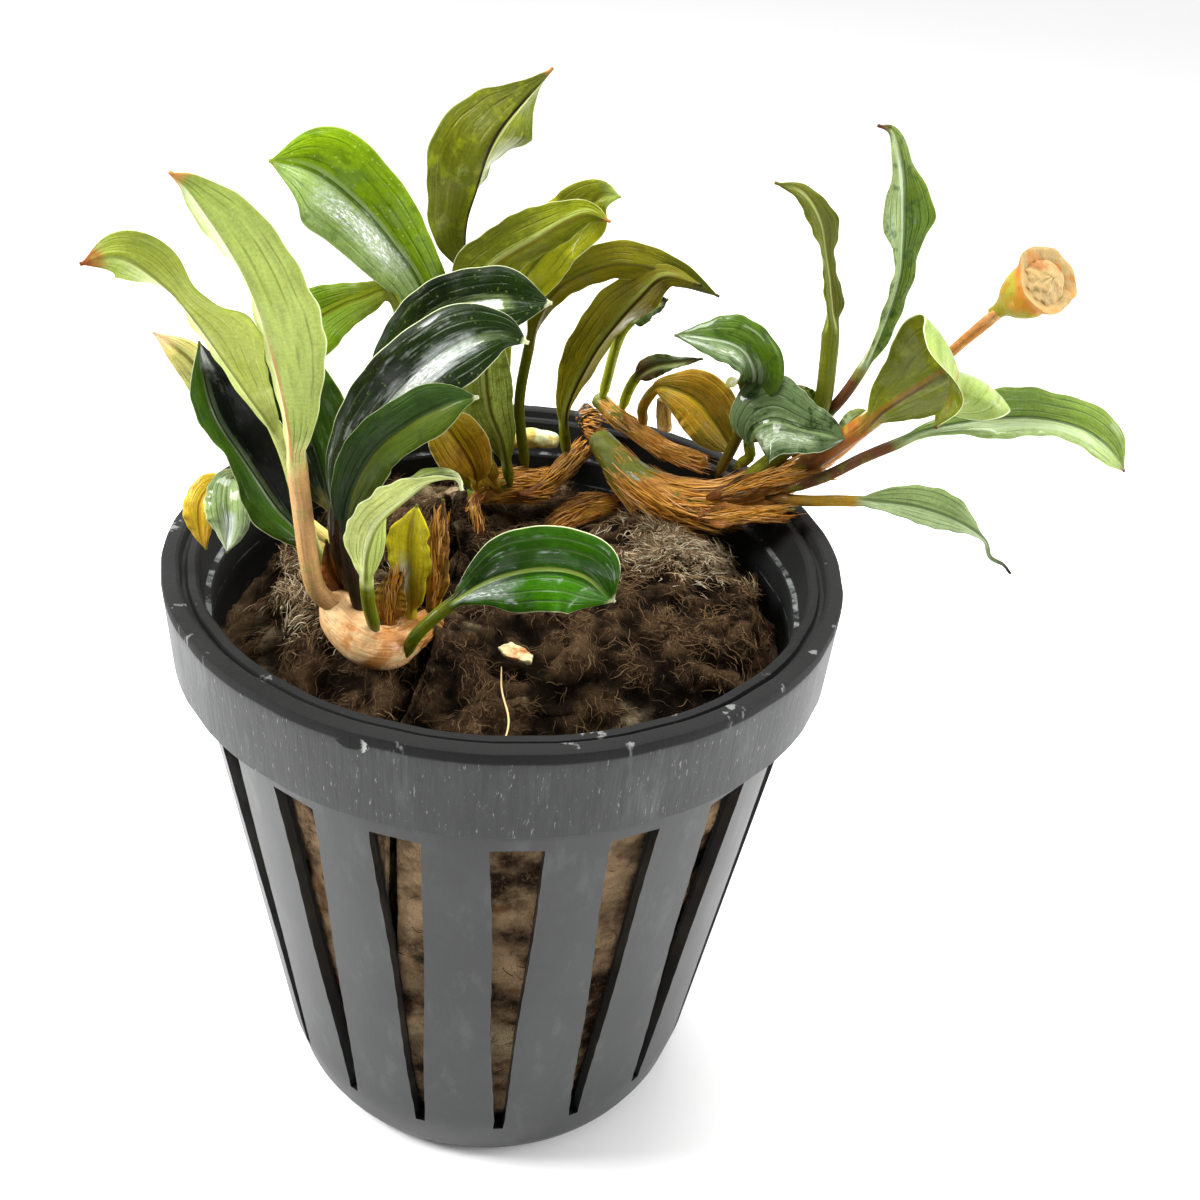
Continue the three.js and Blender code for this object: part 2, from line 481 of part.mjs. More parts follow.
const LEAVES = {
  leaf_left_tall: {
    finish: "pale",
    route: [[-11.6, -10.6, 50.4], [-12.8, -11, 52.6], [-13.2, -11.8, 59.4], [-13.2, -12.8, 63], [-13.6, -14.2, 68.8],
      [-14.4, -16.6, 74.8], [-16.4, -18.2, 79.6], [-17.6, -18.2, 80.8]],
    width: 6, stalk: 0.37, facing: BACK, turn: [-20, -30, -32, -40], fold: [30, 35, 30],
    outline: [0.45, 0.75, 0.95, 1, 0.98, 0.9, 0.65], stalkRadius: 0.65,
  },
  leaf_left_arching: {
    finish: "pale",
    route: [[-12, -9, 50.8], [-13.4, -9.2, 55.8], [-14.6, -9.4, 61.8], [-16.2, -10.6, 65.8], [-18, -13.6, 71.2],
      [-19.2, -15.4, 74], [-21, -16.6, 75.8], [-23, -17, 75.4]],
    width: 5, stalk: 0.38, facing: BACK, turn: [-15, -45, -45, -20], fold: [20, 25, 20],
    outline: [0.5, 0.9, 1.15, 0.55, 0.72],
  },
  leaf_left_dark_broad: {
    finish: "dark",
    route: [[-12, -7.8, 50.6], [-13.8, -7.6, 53.6], [-15.8, -7.2, 55.8], [-17.8, -6.8, 59], [-19.4, -6.4, 61.6],
      [-20, -6.4, 64.4], [-19.8, -7, 67.4]],
    width: 7.2, stalk: 0.15, turn: [25, 45, 52], fold: [25, 42, 45], outline: [0.65, 0.95, 1, 0.88, 0.75],
  },
  leaf_left_hidden: {
    finish: "olive", route: [[-10.8, -4.3, 50.4], [-15.5, -1.8, 52.9], [-19, -0.6, 58.5], [-21.8, -0.6, 63], [-24.6, 0, 65]],
    width: 3.2, stalk: 0.4,
  },
  leaf_left_short_grey: {
    finish: "dark",
    route: [[-11.8, -6.5, 50.6], [-16, -5.6, 53.8], [-18.1, -5, 56], [-18.8, -5.6, 56.9], [-18.8, -7, 56.2],
      [-18.6, -8, 54.8], [-18.8, -8.8, 53.2]],
    width: 3.2, stalk: 0.6, outline: [0.7, 1, 1, 0.85, 0.5],
  },
  leaf_left_short_yellow: {
    finish: "yellow",
    route: [[-11.4, -5.2, 50.4], [-16.4, -4, 53.2], [-19.6, -2.8, 54.6], [-20.8, -2.8, 54.9], [-21.5, -3.8, 54.1],
      [-21.4, -4.8, 52.6], [-21, -5.6, 51.4]],
    width: 2.4, stalk: 0.6, outline: [0.7, 1, 1, 0.85, 0.5],
  },
  leaf_left_dark_back: {
    finish: "dark", route: [[-10.4, -6.4, 51], [-12.3, -4, 54], [-13.8, -2.2, 58.5], [-16, -1, 63], [-18, -1, 66]],
    width: 6.6, stalk: 0.22,
  },
  leaf_left_glossy: {
    finish: "dark",
    route: [[-10.7, -9.2, 51], [-11.3, -9.9, 54.5], [-11.3, -10, 58], [-9.6, -10.4, 62.5], [-7, -11, 66.5],
      [-4, -11.5, 69.6], [-1.2, -12, 71], [0.6, -12, 70.5]],
    width: 5, stalk: 0.25, fold: [15, 8, 8], outline: [0.6, 0.9, 1, 1, 0.85],
  },
  leaf_left_glossy_back: {
    finish: "dark",
    route: [[-10, -7, 51.2], [-11, -5.9, 56], [-10.2, -4.8, 61.6], [-7.8, -4.4, 65.9], [-4.8, -4.4, 69],
      [-1.6, -5, 70.4], [2, -5.6, 70.7]],
    width: 4.6, stalk: 0.45, fold: [15, 8, 8], outline: [0.6, 0.9, 1, 1, 0.85],
  },
  leaf_left_green_inner: {
    finish: "bright",
    route: [[-9.9, -11, 50.8], [-10.5, -11.3, 55.8], [-10.2, -11.6, 59.2], [-8.6, -12, 62.8], [-6.2, -12.8, 65.4],
      [-3.8, -13.2, 67], [-2.2, -13.6, 67.6]],
    width: 3.4, stalk: 0.28, outline: [0.7, 1, 1, 1, 0.9],
  },
  leaf_left_small_curled: {
    finish: "pale",
    route: [[-8.7, -12.4, 50.2], [-9, -12.9, 52.4], [-9, -13.6, 55], [-8.8, -14.2, 57.2], [-8, -14.8, 59.6],
      [-6.6, -15, 61.2], [-5, -15, 62.6], [-3.4, -14.8, 62.8], [-3, -14.8, 62]],
    width: 3.8, stalk: 0.25, facing: [0.1, 0.45, 0.9], turn: [10, 20, 20], fold: [25, 45, 40],
    outline: [0.7, 0.95, 0.95, 0.85, 0.5],
  },
  leaf_front_glossy: {
    finish: "bright",
    route: [[-7, -13, 48.2], [-5.6, -12.2, 50], [-3.6, -11.6, 51.8], [-1, -11, 53.4], [2.2, -11, 54.4], [5, -11, 54],
      [7.2, -11.2, 52.2]],
    width: 5.8, stalk: 0.28, outline: [0.45, 0.9, 1, 1, 0.85],
  },
  leaf_centre_bright: {
    finish: "bright",
    route: [[-2.9, 13.4, 49], [-4.9, 11.9, 56], [-7, 9.8, 64.8], [-9.5, 8.7, 69.3], [-12, 8, 72.3], [-14.6, 7.5, 74.3],
      [-17.5, 7, 75]],
    width: 7, stalk: 0.4, outline: [0.5, 0.68, 0.88, 1, 1],
  },
  leaf_centre_low_yellow: {
    finish: "yellow",
    route: [[-3.9, 12.2, 48.6], [-5.5, 11.2, 53], [-6.5, 10, 58.4], [-8.6, 8.8, 63.4], [-9.2, 8.6, 65], [-10, 8.2, 65.8],
      [-11.2, 7.8, 65.4], [-12.6, 7.2, 65], [-14.2, 6.6, 64.2], [-16, 5.8, 63], [-18, 5, 61.8]],
    width: 5, stalk: 0.6, fold: [20, 10, 5], outline: [0.33, 0.58, 0.83, 1, 0.8],
  },
  leaf_centre_tall: {
    finish: "olive",
    route: [[-2, 14.5, 49], [-3.4, 13.5, 57], [-4.5, 11.4, 68.3], [-3.5, 10.2, 73.4], [-2, 9.6, 77.4], [1.5, 8.5, 82]],
    width: 8, stalk: 0.5, facing: BACK, turn: [80, 70, 28, 70], fold: [25, 36, 40],
    outline: [0.55, 0.85, 1, 0.85, 0.38],
  },
  leaf_centre_mid: {
    finish: "yellow",
    route: [[-1.8, 12.6, 49], [-3.3, 11.6, 57.5], [-4.7, 9.2, 64.6], [-2.4, 8.6, 67.8], [1, 8.2, 70.4], [4.2, 8.2, 72.4],
      [6.2, 8.2, 72]],
    width: 4.8, stalk: 0.55, facing: BACK, turn: [45, 45, 30], fold: [20, 30, 20], outline: [0.9, 1, 1, 0.8, 0.5],
  },
  leaf_centre_yellow_back: {
    finish: "yellow",
    route: [[-0.6, 15.2, 49], [-1, 14.8, 57], [-0.5, 14, 63.6], [2, 13.4, 68.2], [4, 13, 70.6], [5.6, 12.8, 72.4],
      [7.1, 12.6, 72.6]],
    width: 5, stalk: 0.45, outline: [0.6, 0.9, 1, 1, 0.85], wave: 0.5,
  },
  leaf_centre_arch_back: {
    finish: "olive",
    route: [[1, 15.4, 48.8], [0.3, 15.2, 54], [0.7, 15, 58.4], [1.5, 14.2, 62.4], [3.1, 13.2, 65.4], [5.8, 12.4, 67.2],
      [8.2, 12, 67.8], [11.8, 11.8, 67.2], [15.2, 11.6, 65.8]],
    width: 3.4, stalk: 0.35, facing: BACK, turn: [40, 40, 40], fold: [20, 20, 20],
  },
  leaf_centre_arch_front: {
    finish: "olive",
    route: [[4.5, 17, 49.4], [4.2, 16.4, 53.4], [5.8, 15.4, 58.4], [7.4, 13.8, 62], [9, 12.4, 64.8], [10.8, 11.2, 67.2],
      [13.6, 10.4, 67]],
    width: 5, stalk: 0.08, facing: BACK, turn: [40, 45, 15], fold: [30, 35, 20], outline: [0.5, 0.95, 1, 0.95, 0.5],
  },
  leaf_centre_upright: {
    finish: "olive", route: [[-0.3, 12.2, 49], [-0.9, 11.3, 52.5], [-2, 10.4, 56], [-2.4, 9.6, 60.2], [-1.9, 9, 64]],
    width: 4.4, stalk: 0.05, facing: BACK, turn: [10, 10, 10], outline: [0.45, 0.85, 1, 0.9, 0.6],
  },
  leaf_centre_old_yellow: {
    finish: "yellow", route: [[-2.9, 11.2, 48.6], [-3.3, 10, 51], [-4.6, 9, 53.8], [-6.2, 8.4, 56.4]],
    width: 4.6, stalk: 0.05, outline: [0.5, 0.85, 1, 1, 0.8],
  },
  leaf_back_hanging: {
    finish: "dark",
    route: [[7.5, 19.6, 53.8], [7.7, 18.9, 55.6], [8, 17.8, 58.4], [8.5, 17, 60.6], [9.5, 16.3, 62.2], [10.5, 15.7, 63.3],
      [11.7, 15.1, 64.1]],
    width: 2.1, stalk: 0.68, outline: [0.9, 1, 1, 0.9, 0.7],
  },
  leaf_back_narrow: {
    finish: "dark",
    route: [[9.2, 18.4, 53.3], [9.5, 17.8, 55], [10.1, 17.1, 56.6], [11.4, 16.6, 57.8], [13.2, 16.2, 58.4], [15.2, 15.8, 59]],
    width: 2, stalk: 0.35, outline: [0.9, 1, 0.8, 0.5, 0.3],
  },
  leaf_right_drooping: {
    finish: "dark",
    route: [[17, 10.9, 51.4], [17.8, 9.8, 54.8], [18.2, 9.1, 58], [18.3, 8.5, 60.4], [17.4, 8.1, 62.3], [16, 7.8, 63.4],
      [13.8, 7.7, 63.8], [11.6, 7.9, 63.9]],
    width: 5.2, stalk: 0.36, facing: [-0.3, -0.5, 0.8], outline: [0.6, 0.95, 1, 0.85, 0.5],
  },
  leaf_right_heart: {
    finish: "dark",
    route: [[18.2, 9.1, 52.9], [18.7, 8, 54.2], [18.3, 7.3, 55.8], [18.5, 6.8, 57.2], [19.8, 6.2, 58.2], [22.2, 5.8, 57.8],
      [24, 5.6, 57.6], [25.4, 5.6, 57.2]],
    width: 7.6, stalk: 0.28, turn: [-15, -15, -15], fold: [8, 10, 12], outline: [0.7, 1, 0.75, 0.6, 0.4],
  },
  leaf_right_old_yellow: {
    finish: "yellow",
    route: [[10.9, 16.4, 52.8], [10.6, 15.4, 54.6], [11.4, 14.2, 56.8], [12.6, 13.4, 57.2], [14.6, 12.8, 56.6],
      [16.4, 12.2, 54.8], [18.2, 12.2, 52.2]],
    width: 5.2, stalk: 0.28, outline: [0.4, 0.85, 1, 0.95, 0.6],
  },
  leaf_right_twisted: {
    finish: "olive",
    route: [[18.9, 7.6, 52.5], [20.2, 8, 53.6], [21.6, 8.3, 54.9], [23.2, 8.7, 56.6], [24, 9.1, 58.6], [24, 9.5, 61.6],
      [23.8, 9.9, 64.4], [23.1, 10.2, 67.6], [22.4, 10.4, 70], [21.6, 10.4, 72.4], [20, 10, 74.4], [17.8, 9.4, 75.2]],
    width: 3, stalk: 0.5, turn: [40, 40, -20], fold: [35, 25, 15], outline: [0.75, 0.7, 0.75, 0.95, 0.7, 0.4],
    stalkRadius: 0.7,
  },
  leaf_right_upright: {
    finish: "bright",
    route: [[22.9, 9.4, 54.4], [24.2, 9.2, 57], [25.6, 9, 59.4], [26.8, 9.2, 62], [27.6, 9.4, 65], [28.1, 9.6, 68.6],
      [27.9, 9.6, 71.2], [27.5, 9.4, 73.6], [27, 9.2, 75.8], [26.2, 9, 77.9], [25.3, 8.7, 79.4], [24.2, 8.4, 79.8]],
    width: 4.5, stalk: 0.28, turn: [45, 40, 10, 5], fold: [30, 30, 20, 20],
    outline: [0.35, 0.45, 0.56, 0.66, 0.66, 1, 0.78, 0.4, 0.3],
  },
  leaf_right_folded: {
    finish: "bright",
    route: [[22.6, 6.6, 54.1], [24.2, 6.4, 55.6], [26.8, 6, 58.4], [28.4, 5.4, 60.4], [30.2, 4.8, 62.3], [31.5, 3.9, 63.8],
      [31.8, 2.4, 64.3], [31.1, 0.7, 63.6], [29.9, -0.8, 61.4]],
    width: 10.4, stalk: 0.3, facing: [1, 0.8, 1.2], fold: [12, 10, 10], outline: [0.35, 0.62, 0.88, 1, 0.85, 0.5],
    stalkRadius: 0.8,
  },
  leaf_right_long: {
    finish: "bright",
    route: [[22, 4.9, 53.3], [24.4, 4.9, 54.4], [27, 5.4, 55.8], [30, 5.8, 57.2], [32, 6, 58.1], [36.4, 6, 59.2],
      [39.8, 5.6, 59.7], [43, 5, 59.4], [45.4, 4.6, 58.2], [47.4, 4.4, 56.3]],
    width: 4.8, stalk: 0.3, turn: [-25, -25, -20], fold: [20, 25, 20], outline: [0.3, 0.5, 0.95, 1, 0.95, 1, 0.75],
  },
  leaf_right_low: {
    finish: "bright",
    route: [[21, 5.3, 51.9], [23.4, 4.7, 52.2], [25.6, 4.4, 52.5], [28.2, 4.2, 52.6], [31.6, 4, 52.4], [34.8, 3.6, 51.6],
      [37.2, 3, 50.4], [38, 2.8, 49], [39, 2.4, 48.6], [39.8, 2.4, 47.8]],
    width: 3.8, stalk: 0.28, turn: [-25, -25, -20], fold: [25, 25, 20], outline: [0.6, 0.95, 1, 0.75, 0.2, 0.1],
  },
  leaf_right_fragment: {
    finish: "bright", route: [[23.6, 7.8, 54.8], [25.4, 8.2, 55.6], [27, 9.8, 57], [28.4, 10.6, 57.3]],
    width: 1.8, stalk: 0.3,
  },
};

// Spent flower: a cup on the end of its stalk, with the dried spadix inside it

const FLOWER_FOOT = new THREE.Vector3(36.5, 9.05, 67.2);
const FLOWER_AXIS = new THREE.Vector3(0.6, -0.35, 0.72).normalize();
const CUP_PROFILE = [
  [0, 0], [0.75, 0], [1.5, 0.8], [1.95, 1.9], [1.9, 2.9], [2.35, 4.4], [2, 4.4], [1.5, 3], [1.2, 1.7], [0, 1.6],
];
const SPADIX_PROFILE = [[0, 1.9], [0.85, 2], [1.1, 2.9], [1.3, 3.7], [0.7, 4.1], [0, 4.2]];

function onFlowerAxis(profile, sides) {
  const geometry = new THREE.LatheGeometry(profile.map(([radius, rise]) => new THREE.Vector2(radius, rise)), sides);
  geometry.applyQuaternion(new THREE.Quaternion().setFromUnitVectors(new THREE.Vector3(0, 1, 0), FLOWER_AXIS));
  geometry.translate(...FLOWER_FOOT.toArray());
  return geometry;
}

// Bark chip: a thin uneven flake

function chipGeometry() {
  const outline = [[-1.3, 0.5], [-0.8, -0.3], [0.1, -0.6], [1.1, -0.9], [1.2, -0.2], [0.5, 0.6], [-0.4, 1]];
  const geometry = new THREE.ExtrudeGeometry(new THREE.Shape(outline.map((point) => new THREE.Vector2(...point))), {
    depth: 0.35,
    bevelEnabled: false,
  });
  geometry.rotateX(degrees(12));
  geometry.translate(0.8, -9, 45.7);
  return geometry;
}

// Assembly: every piece is cut clear of those before it, and the wool of everything in it

const group = new THREE.Group();
const placed = [];

function boxesMeet(first, second) {
  return [0, 1, 2].every((axis) => first.min[axis] <= second.max[axis] && second.min[axis] <= first.max[axis]);
}

function place(name, material, solid, swollen) {
  let cut = solid;
  for (const other of placed) {
    if (boxesMeet(cut.boundingBox(), other.boundingBox())) {
      cut = cut.subtract(other);
    }
  }
  cut = largestBody(cut);
  placed.push(swollen ?? solid);
  const mesh = new THREE.Mesh(toGeometry(cut), FINISHES[material]());
  mesh.name = name;
  group.add(mesh);
}

function placeGeometry(name, material, build) {
  place(name, material, toSolid(build(0)), toSolid(build(CLEARANCE)));
}

place("pot", "pot", potSolid(), rimSpace());

for (const [name, stem] of Object.entries(STEMS)) {
  placeGeometry(name, stem.finish, (spare) => stemGeometry(stem, spare));
}
place("flower_cup", "flower", toSolid(onFlowerAxis(CUP_PROFILE, 11)));
place("flower_spadix", "sheath", toSolid(onFlowerAxis(SPADIX_PROFILE, 9)));

for (const [name, sheath] of Object.entries(SHEATHS)) {
  const bract = { ...LEAF_DEFAULTS, ...SHEATH_DEFAULTS, ...sheath };
  placeGeometry(name, bract.finish, (spare) => leafGeometry(bract, spare));
}
for (const [name, shape] of Object.entries(LEAVES)) {
  const leaf = { ...LEAF_DEFAULTS, ...shape };
  placeGeometry(name, leaf.finish, (spare) => leafGeometry(leaf, spare));
}
place("bark_chip", "chip", toSolid(chipGeometry()));

const halves = woolPlug().subtract(creviceCutter()).decompose();
halves.sort((first, second) => first.boundingBox().min[0] - second.boundingBox().min[0]);
place("wool_left", "wool", halves[0]);
place("wool_right", "wool", halves[1]);

export default group;
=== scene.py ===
"""Potted bucephalandra: glossy leaves, creeping stems and a spent flower in mineral wool, in a net pot.

Every size is in millimetres until a piece's mesh is made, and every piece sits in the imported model's frame:
the origin is the centre of the pot's base, +Z is up, +X is to the right and +Y is to the back.
"""

import math

import bpy
import numpy as np
from mathutils import Matrix, Vector


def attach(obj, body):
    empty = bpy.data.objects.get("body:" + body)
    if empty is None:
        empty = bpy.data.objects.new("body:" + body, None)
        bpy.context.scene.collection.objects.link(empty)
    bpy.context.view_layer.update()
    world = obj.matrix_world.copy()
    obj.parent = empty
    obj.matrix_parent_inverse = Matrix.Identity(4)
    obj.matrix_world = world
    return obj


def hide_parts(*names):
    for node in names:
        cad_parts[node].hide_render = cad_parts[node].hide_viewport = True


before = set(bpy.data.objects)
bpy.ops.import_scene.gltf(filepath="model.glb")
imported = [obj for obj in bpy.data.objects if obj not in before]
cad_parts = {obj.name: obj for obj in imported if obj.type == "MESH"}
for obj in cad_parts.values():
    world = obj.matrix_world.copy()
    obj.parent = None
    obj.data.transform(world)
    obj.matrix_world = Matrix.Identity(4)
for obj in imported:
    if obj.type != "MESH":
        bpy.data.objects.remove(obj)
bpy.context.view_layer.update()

MM = 0.001
FULL_TURN = 2 * math.pi

# Camera
CAMERA_PLACE = (0, -84.5, 99.2)
CAMERA_YAW = 4.84
CAMERA_DIP = 32.52
CAMERA_ROLL = 5.12
CAMERA_LENS = 39.0
CAMERA_NEAR = 5

# Pot
POT_HEIGHT = 50
RIM_RADIUS = 25
BAND_HEIGHT = 7
BAND_BOTTOM_RADIUS = 24.8
BODY_TOP_RADIUS = 23.3
BODY_BOTTOM_RADIUS = 17.7
WALL = 1.1
BASE_THICKNESS = 1.6
SLOT_COUNT = 18
SLOT_TOP = 40.3
SLOT_BOTTOM = 5.2
SLOT_TOP_WIDTH = 3.6
SLOT_BOTTOM_WIDTH = 0.8
FIRST_SLOT_ANGLE = 3.5
DRAIN_SLOT_INNER = 7
DRAIN_SLOT_OUTER = 14
DRAIN_SLOT_WIDTH = 1.8
SLOTS_PER_DRAIN = 3
RIB_COLUMNS = 7
NICK_PLACE = (-9, -23.3, 49.1)

# Wool
WOOL_BOTTOM = 2.2
WOOL_TOP = 46.2
CREVICE_WIDTH = 0.8

# Leaves
STALK_RADIUS = 0.45
BLADE_HALF_THICKNESS = 0.22
TIP_HALF_WIDTH = 0.12
INNER_BEND_SHARE = 0.65
WAVES = 2
RUFFLES = 4.3 * WAVES
RUFFLE_HEIGHT = 0.1
ARCH_SHARE = 0.08
MIDRIB_HEIGHT = 0.12
MIDRIB_WIDTH = 0.3
CREASE_ROUNDING = 0.02

# Shares of a route over which its direction and its bend are measured, and how finely it is followed
TANGENT_REACH = 0.01
BEND_REACH = 0.05
ROUTE_STEPS = 80

# Rows and columns of points
BLADE_ROWS = 72
LEAF_COLUMNS = 36
STEM_COLUMNS = 40
WOOL_ROWS = 210
WOOL_COLUMNS = 300
FLOWER_ROWS = 90
FLOWER_COLUMNS = 96
CHIP_COLUMNS = 72
CHIP_FACE_ROWS = 14

# Seeds of the random draws
NOISE_SEED = 11
SHRED_SEED = 21
WOOL_SEED = 7
THREAD_SEED = 3

# Directions that a leaf's upper face can look in
FRONT = (-0.07, -0.84, 0.54)
BACK = (0.07, 0.84, -0.54)

# Floor and light. Each lamp has its place, what it points at, its width and height, and its power.
FLOOR_REACH = 3000
DIM_SIDE = (0.1, -0.86, 0.5)
DIM_START = 0.1
DIM_END = 0.85
TENT_LIGHT = 1.5
DIM_LIGHT = 0.18
LAMPS = {
    "left_lamp": ((-230, -20, 230), (0, 0, 50), 90, 130, 1.2),
    "top_lamp": ((10, 70, 330), (0, 0, 55), 160, 120, 1.2),
    "right_lamp": ((270, -50, 110), (10, 0, 40), 140, 160, 0.8),
}


def camera():
    """The camera looks level along +Y, then turns right by the yaw, dips, and rolls clockwise."""
    body = bpy.data.objects.new("camera", bpy.data.cameras.new("camera"))
    body.data.lens = CAMERA_LENS
    body.data.clip_start = CAMERA_NEAR * MM
    turn = Matrix.Rotation(math.radians(-CAMERA_YAW), 4, "Z")
    dip = Matrix.Rotation(math.radians(90 - CAMERA_DIP), 4, "X")
    roll = Matrix.Rotation(math.radians(CAMERA_ROLL), 4, "Z")
    body.matrix_world = Matrix.Translation(Vector(CAMERA_PLACE) * MM) @ turn @ dip @ roll
    bpy.context.scene.collection.objects.link(body)
    bpy.context.scene.camera = body


camera()


# Noise and curves

NOISE_DRAWS = np.random.default_rng(NOISE_SEED)
NOISE_ORDER = NOISE_DRAWS.permutation(256)
NOISE_ARROWS = NOISE_DRAWS.normal(size=(256, 3))
NOISE_ARROWS /= np.linalg.norm(NOISE_ARROWS, axis=1, keepdims=True)


def noise(places, size):
    """Smooth noise of about -0.7 to 0.7 whose bumps are `size` across.

    Each corner of a lattice holds a random arrow. A place takes the arrows of its cell's eight corners,
    each times the way from that corner to the place, and blends them with a curve that is level at both
    ends.
    """
    scaled = np.asarray(places, float) / size
    cell = np.floor(scaled).astype(int)
    offset = scaled - cell
    fade = offset ** 3 * (offset * (offset * 6 - 15) + 10)
    total = np.zeros(scaled.shape[:-1])
    for corner in np.ndindex(2, 2, 2):
        key = cell + corner
        first = NOISE_ORDER[key[..., 0] % 256]
        second = NOISE_ORDER[(first + key[..., 1]) % 256]
        number = NOISE_ORDER[(second + key[..., 2]) % 256]
        lean = (NOISE_ARROWS[number] * (offset - corner)).sum(-1)
        total += lean * np.where(np.array(corner) == 1, fade, 1 - fade).prod(-1)
    return total


def smooth_curve(values, shares):
    """A list of evenly spaced values or points, read at shares of its length and joined by a smooth curve.

    Between two values the curve is the cubic that passes both, with the slope at each one half the
    difference of its neighbours. Past the ends the list goes on in a straight line.
    """
    values = np.asarray(values, float)
    padded = np.concatenate([[2 * values[0] - values[1]], values, [2 * values[-1] - values[-2]]])
    place = np.clip(shares, 0, 1) * (len(values) - 1)
    low = np.minimum(place.astype(int), len(values) - 2)
    way = place - low
    if values.ndim > 1:
        way = way[..., None]
    before, here, there, after = (padded[low + step] for step in range(4))
    leaving = (there - before) / 2
    arriving = (after - here) / 2
    cubic = 2 * here - 2 * there + leaving + arriving
    square = 3 * there - 3 * here - 2 * leaving - arriving
    return cubic * way ** 3 + square * way ** 2 + leaving * way + here


def straight_curve(values, shares):
    """A list of evenly spaced values, read at shares of its length and joined by straight lines."""
    return np.interp(shares, np.linspace(0, 1, len(values)), values)


def unit(vectors):
    """The same directions with a length of 1."""
    return vectors / np.linalg.norm(vectors, axis=-1, keepdims=True)


class Route:
    """A smooth curve through points, read by share of its length."""

    def __init__(self, points):
        shares = np.linspace(0, 1, ROUTE_STEPS * (len(points) - 1) + 1)
        self.places = smooth_curve(points, shares)
        steps = np.linalg.norm(np.diff(self.places, axis=0), axis=1)
        self.run = np.concatenate([[0], np.cumsum(steps)])
        self.length = self.run[-1]

    def at(self, shares):
        run = np.clip(shares, 0, 1) * self.length
        return np.stack([np.interp(run, self.run, self.places[:, axis]) for axis in range(3)], -1)

    def tangent(self, shares):
        after = np.minimum(shares + TANGENT_REACH, 1)
        before = np.maximum(shares - TANGENT_REACH, 0)
        return unit(self.at(after) - self.at(before))

    def bend(self, shares):
        """How strongly the route bends, per millimetre, as a vector towards the inside of the bend."""
        before = np.clip(shares - BEND_REACH, 0, 1)
        after = np.clip(shares + BEND_REACH, 0, 1)
        change = self.tangent(after) - self.tangent(before)
        return change / ((after - before) * self.length)[..., None]


# Meshes

def tube_faces(rows, columns):
    """Faces of rows of points that close on themselves, with one face to close each end."""
    corner = np.arange(rows - 1)[:, None] * columns + np.arange(columns)
    beside = np.arange(rows - 1)[:, None] * columns + (np.arange(columns) + 1) % columns
    quads = np.stack([corner, beside, beside + columns, corner + columns], -1).reshape(-1, 4)
    last = (rows - 1) * columns
    return quads.tolist() + [list(range(columns))[::-1], list(range(last, last + columns))]


def turned_outwards(places, faces):
    """The faces, all turned round if the volume that they close counts as negative."""
    fans = np.array([face[:3] for face in faces])
    fourth = np.array([[face[0], face[2], face[3]] for face in faces if len(face) == 4])
    triangles = np.concatenate([fans, fourth]) if len(fourth) else fans
    a, b, c = (places[triangles[:, corner]] for corner in range(3))
    volume = np.einsum("ij,ij->i", a, np.cross(b, c)).sum()
    return faces if volume > 0 else [face[::-1] for face in faces]


def make_skin(name, places, layers, material):
    """A piece that is one closed skin of rows and columns, over the node of its name."""
    make_piece(name + "_detail", places, tube_faces(*places.shape[:2]), material, [name], layers)


def make_piece(name, places, faces, material, stands_for=(), layers=None, sharp_angle=None):
    """A finished piece: its mesh in metres, its material, and layers of one number for every point."""
    places = np.asarray(places, float).reshape(-1, 3)
    middle = places.mean(0)
    mesh = bpy.data.meshes.new(name)
    mesh.from_pydata((places * MM).tolist(), [], turned_outwards(places - middle, faces))
    for layer, values in (layers or {}).items():
        attribute = mesh.attributes.new(layer, "FLOAT", "POINT")
        attribute.data.foreach_set("value", np.ravel(values).astype(np.float32))
    mesh.shade_smooth()
    if sharp_angle is not None:
        mesh.set_sharp_from_angle(angle=math.radians(sharp_angle))
    mesh.materials.append(material)
    piece = bpy.data.objects.new(name, mesh)
    bpy.context.scene.collection.objects.link(piece)
    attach(piece, "root")
    if stands_for:
        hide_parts(*stands_for)


# Materials

def paint(red, green, blue):
    """A display colour, 0 to 255, as the linear colour that a shader takes."""
    shares = [value / 255 for value in (red, green, blue)]
    return tuple(s / 12.92 if s < 0.04045 else ((s + 0.055) / 1.055) ** 2.4 for s in shares) + (1,)


class Wire:
    """One socket of a material. Sums and products of wires and numbers add the Math nodes for them."""

    def __init__(self, finish, socket):
        self.finish = finish
        self.socket = socket

    def __add__(self, other):
        return self.finish.math("ADD", self, other)

    def __sub__(self, other):
        return self.finish.math("SUBTRACT", self, other)

    def __rsub__(self, other):
        return self.finish.math("SUBTRACT", other, self)

    def __mul__(self, other):
        return self.finish.math("MULTIPLY", self, other)

    def __pow__(self, other):
        return self.finish.math("POWER", self, other)

    __radd__ = __add__
    __rmul__ = __mul__


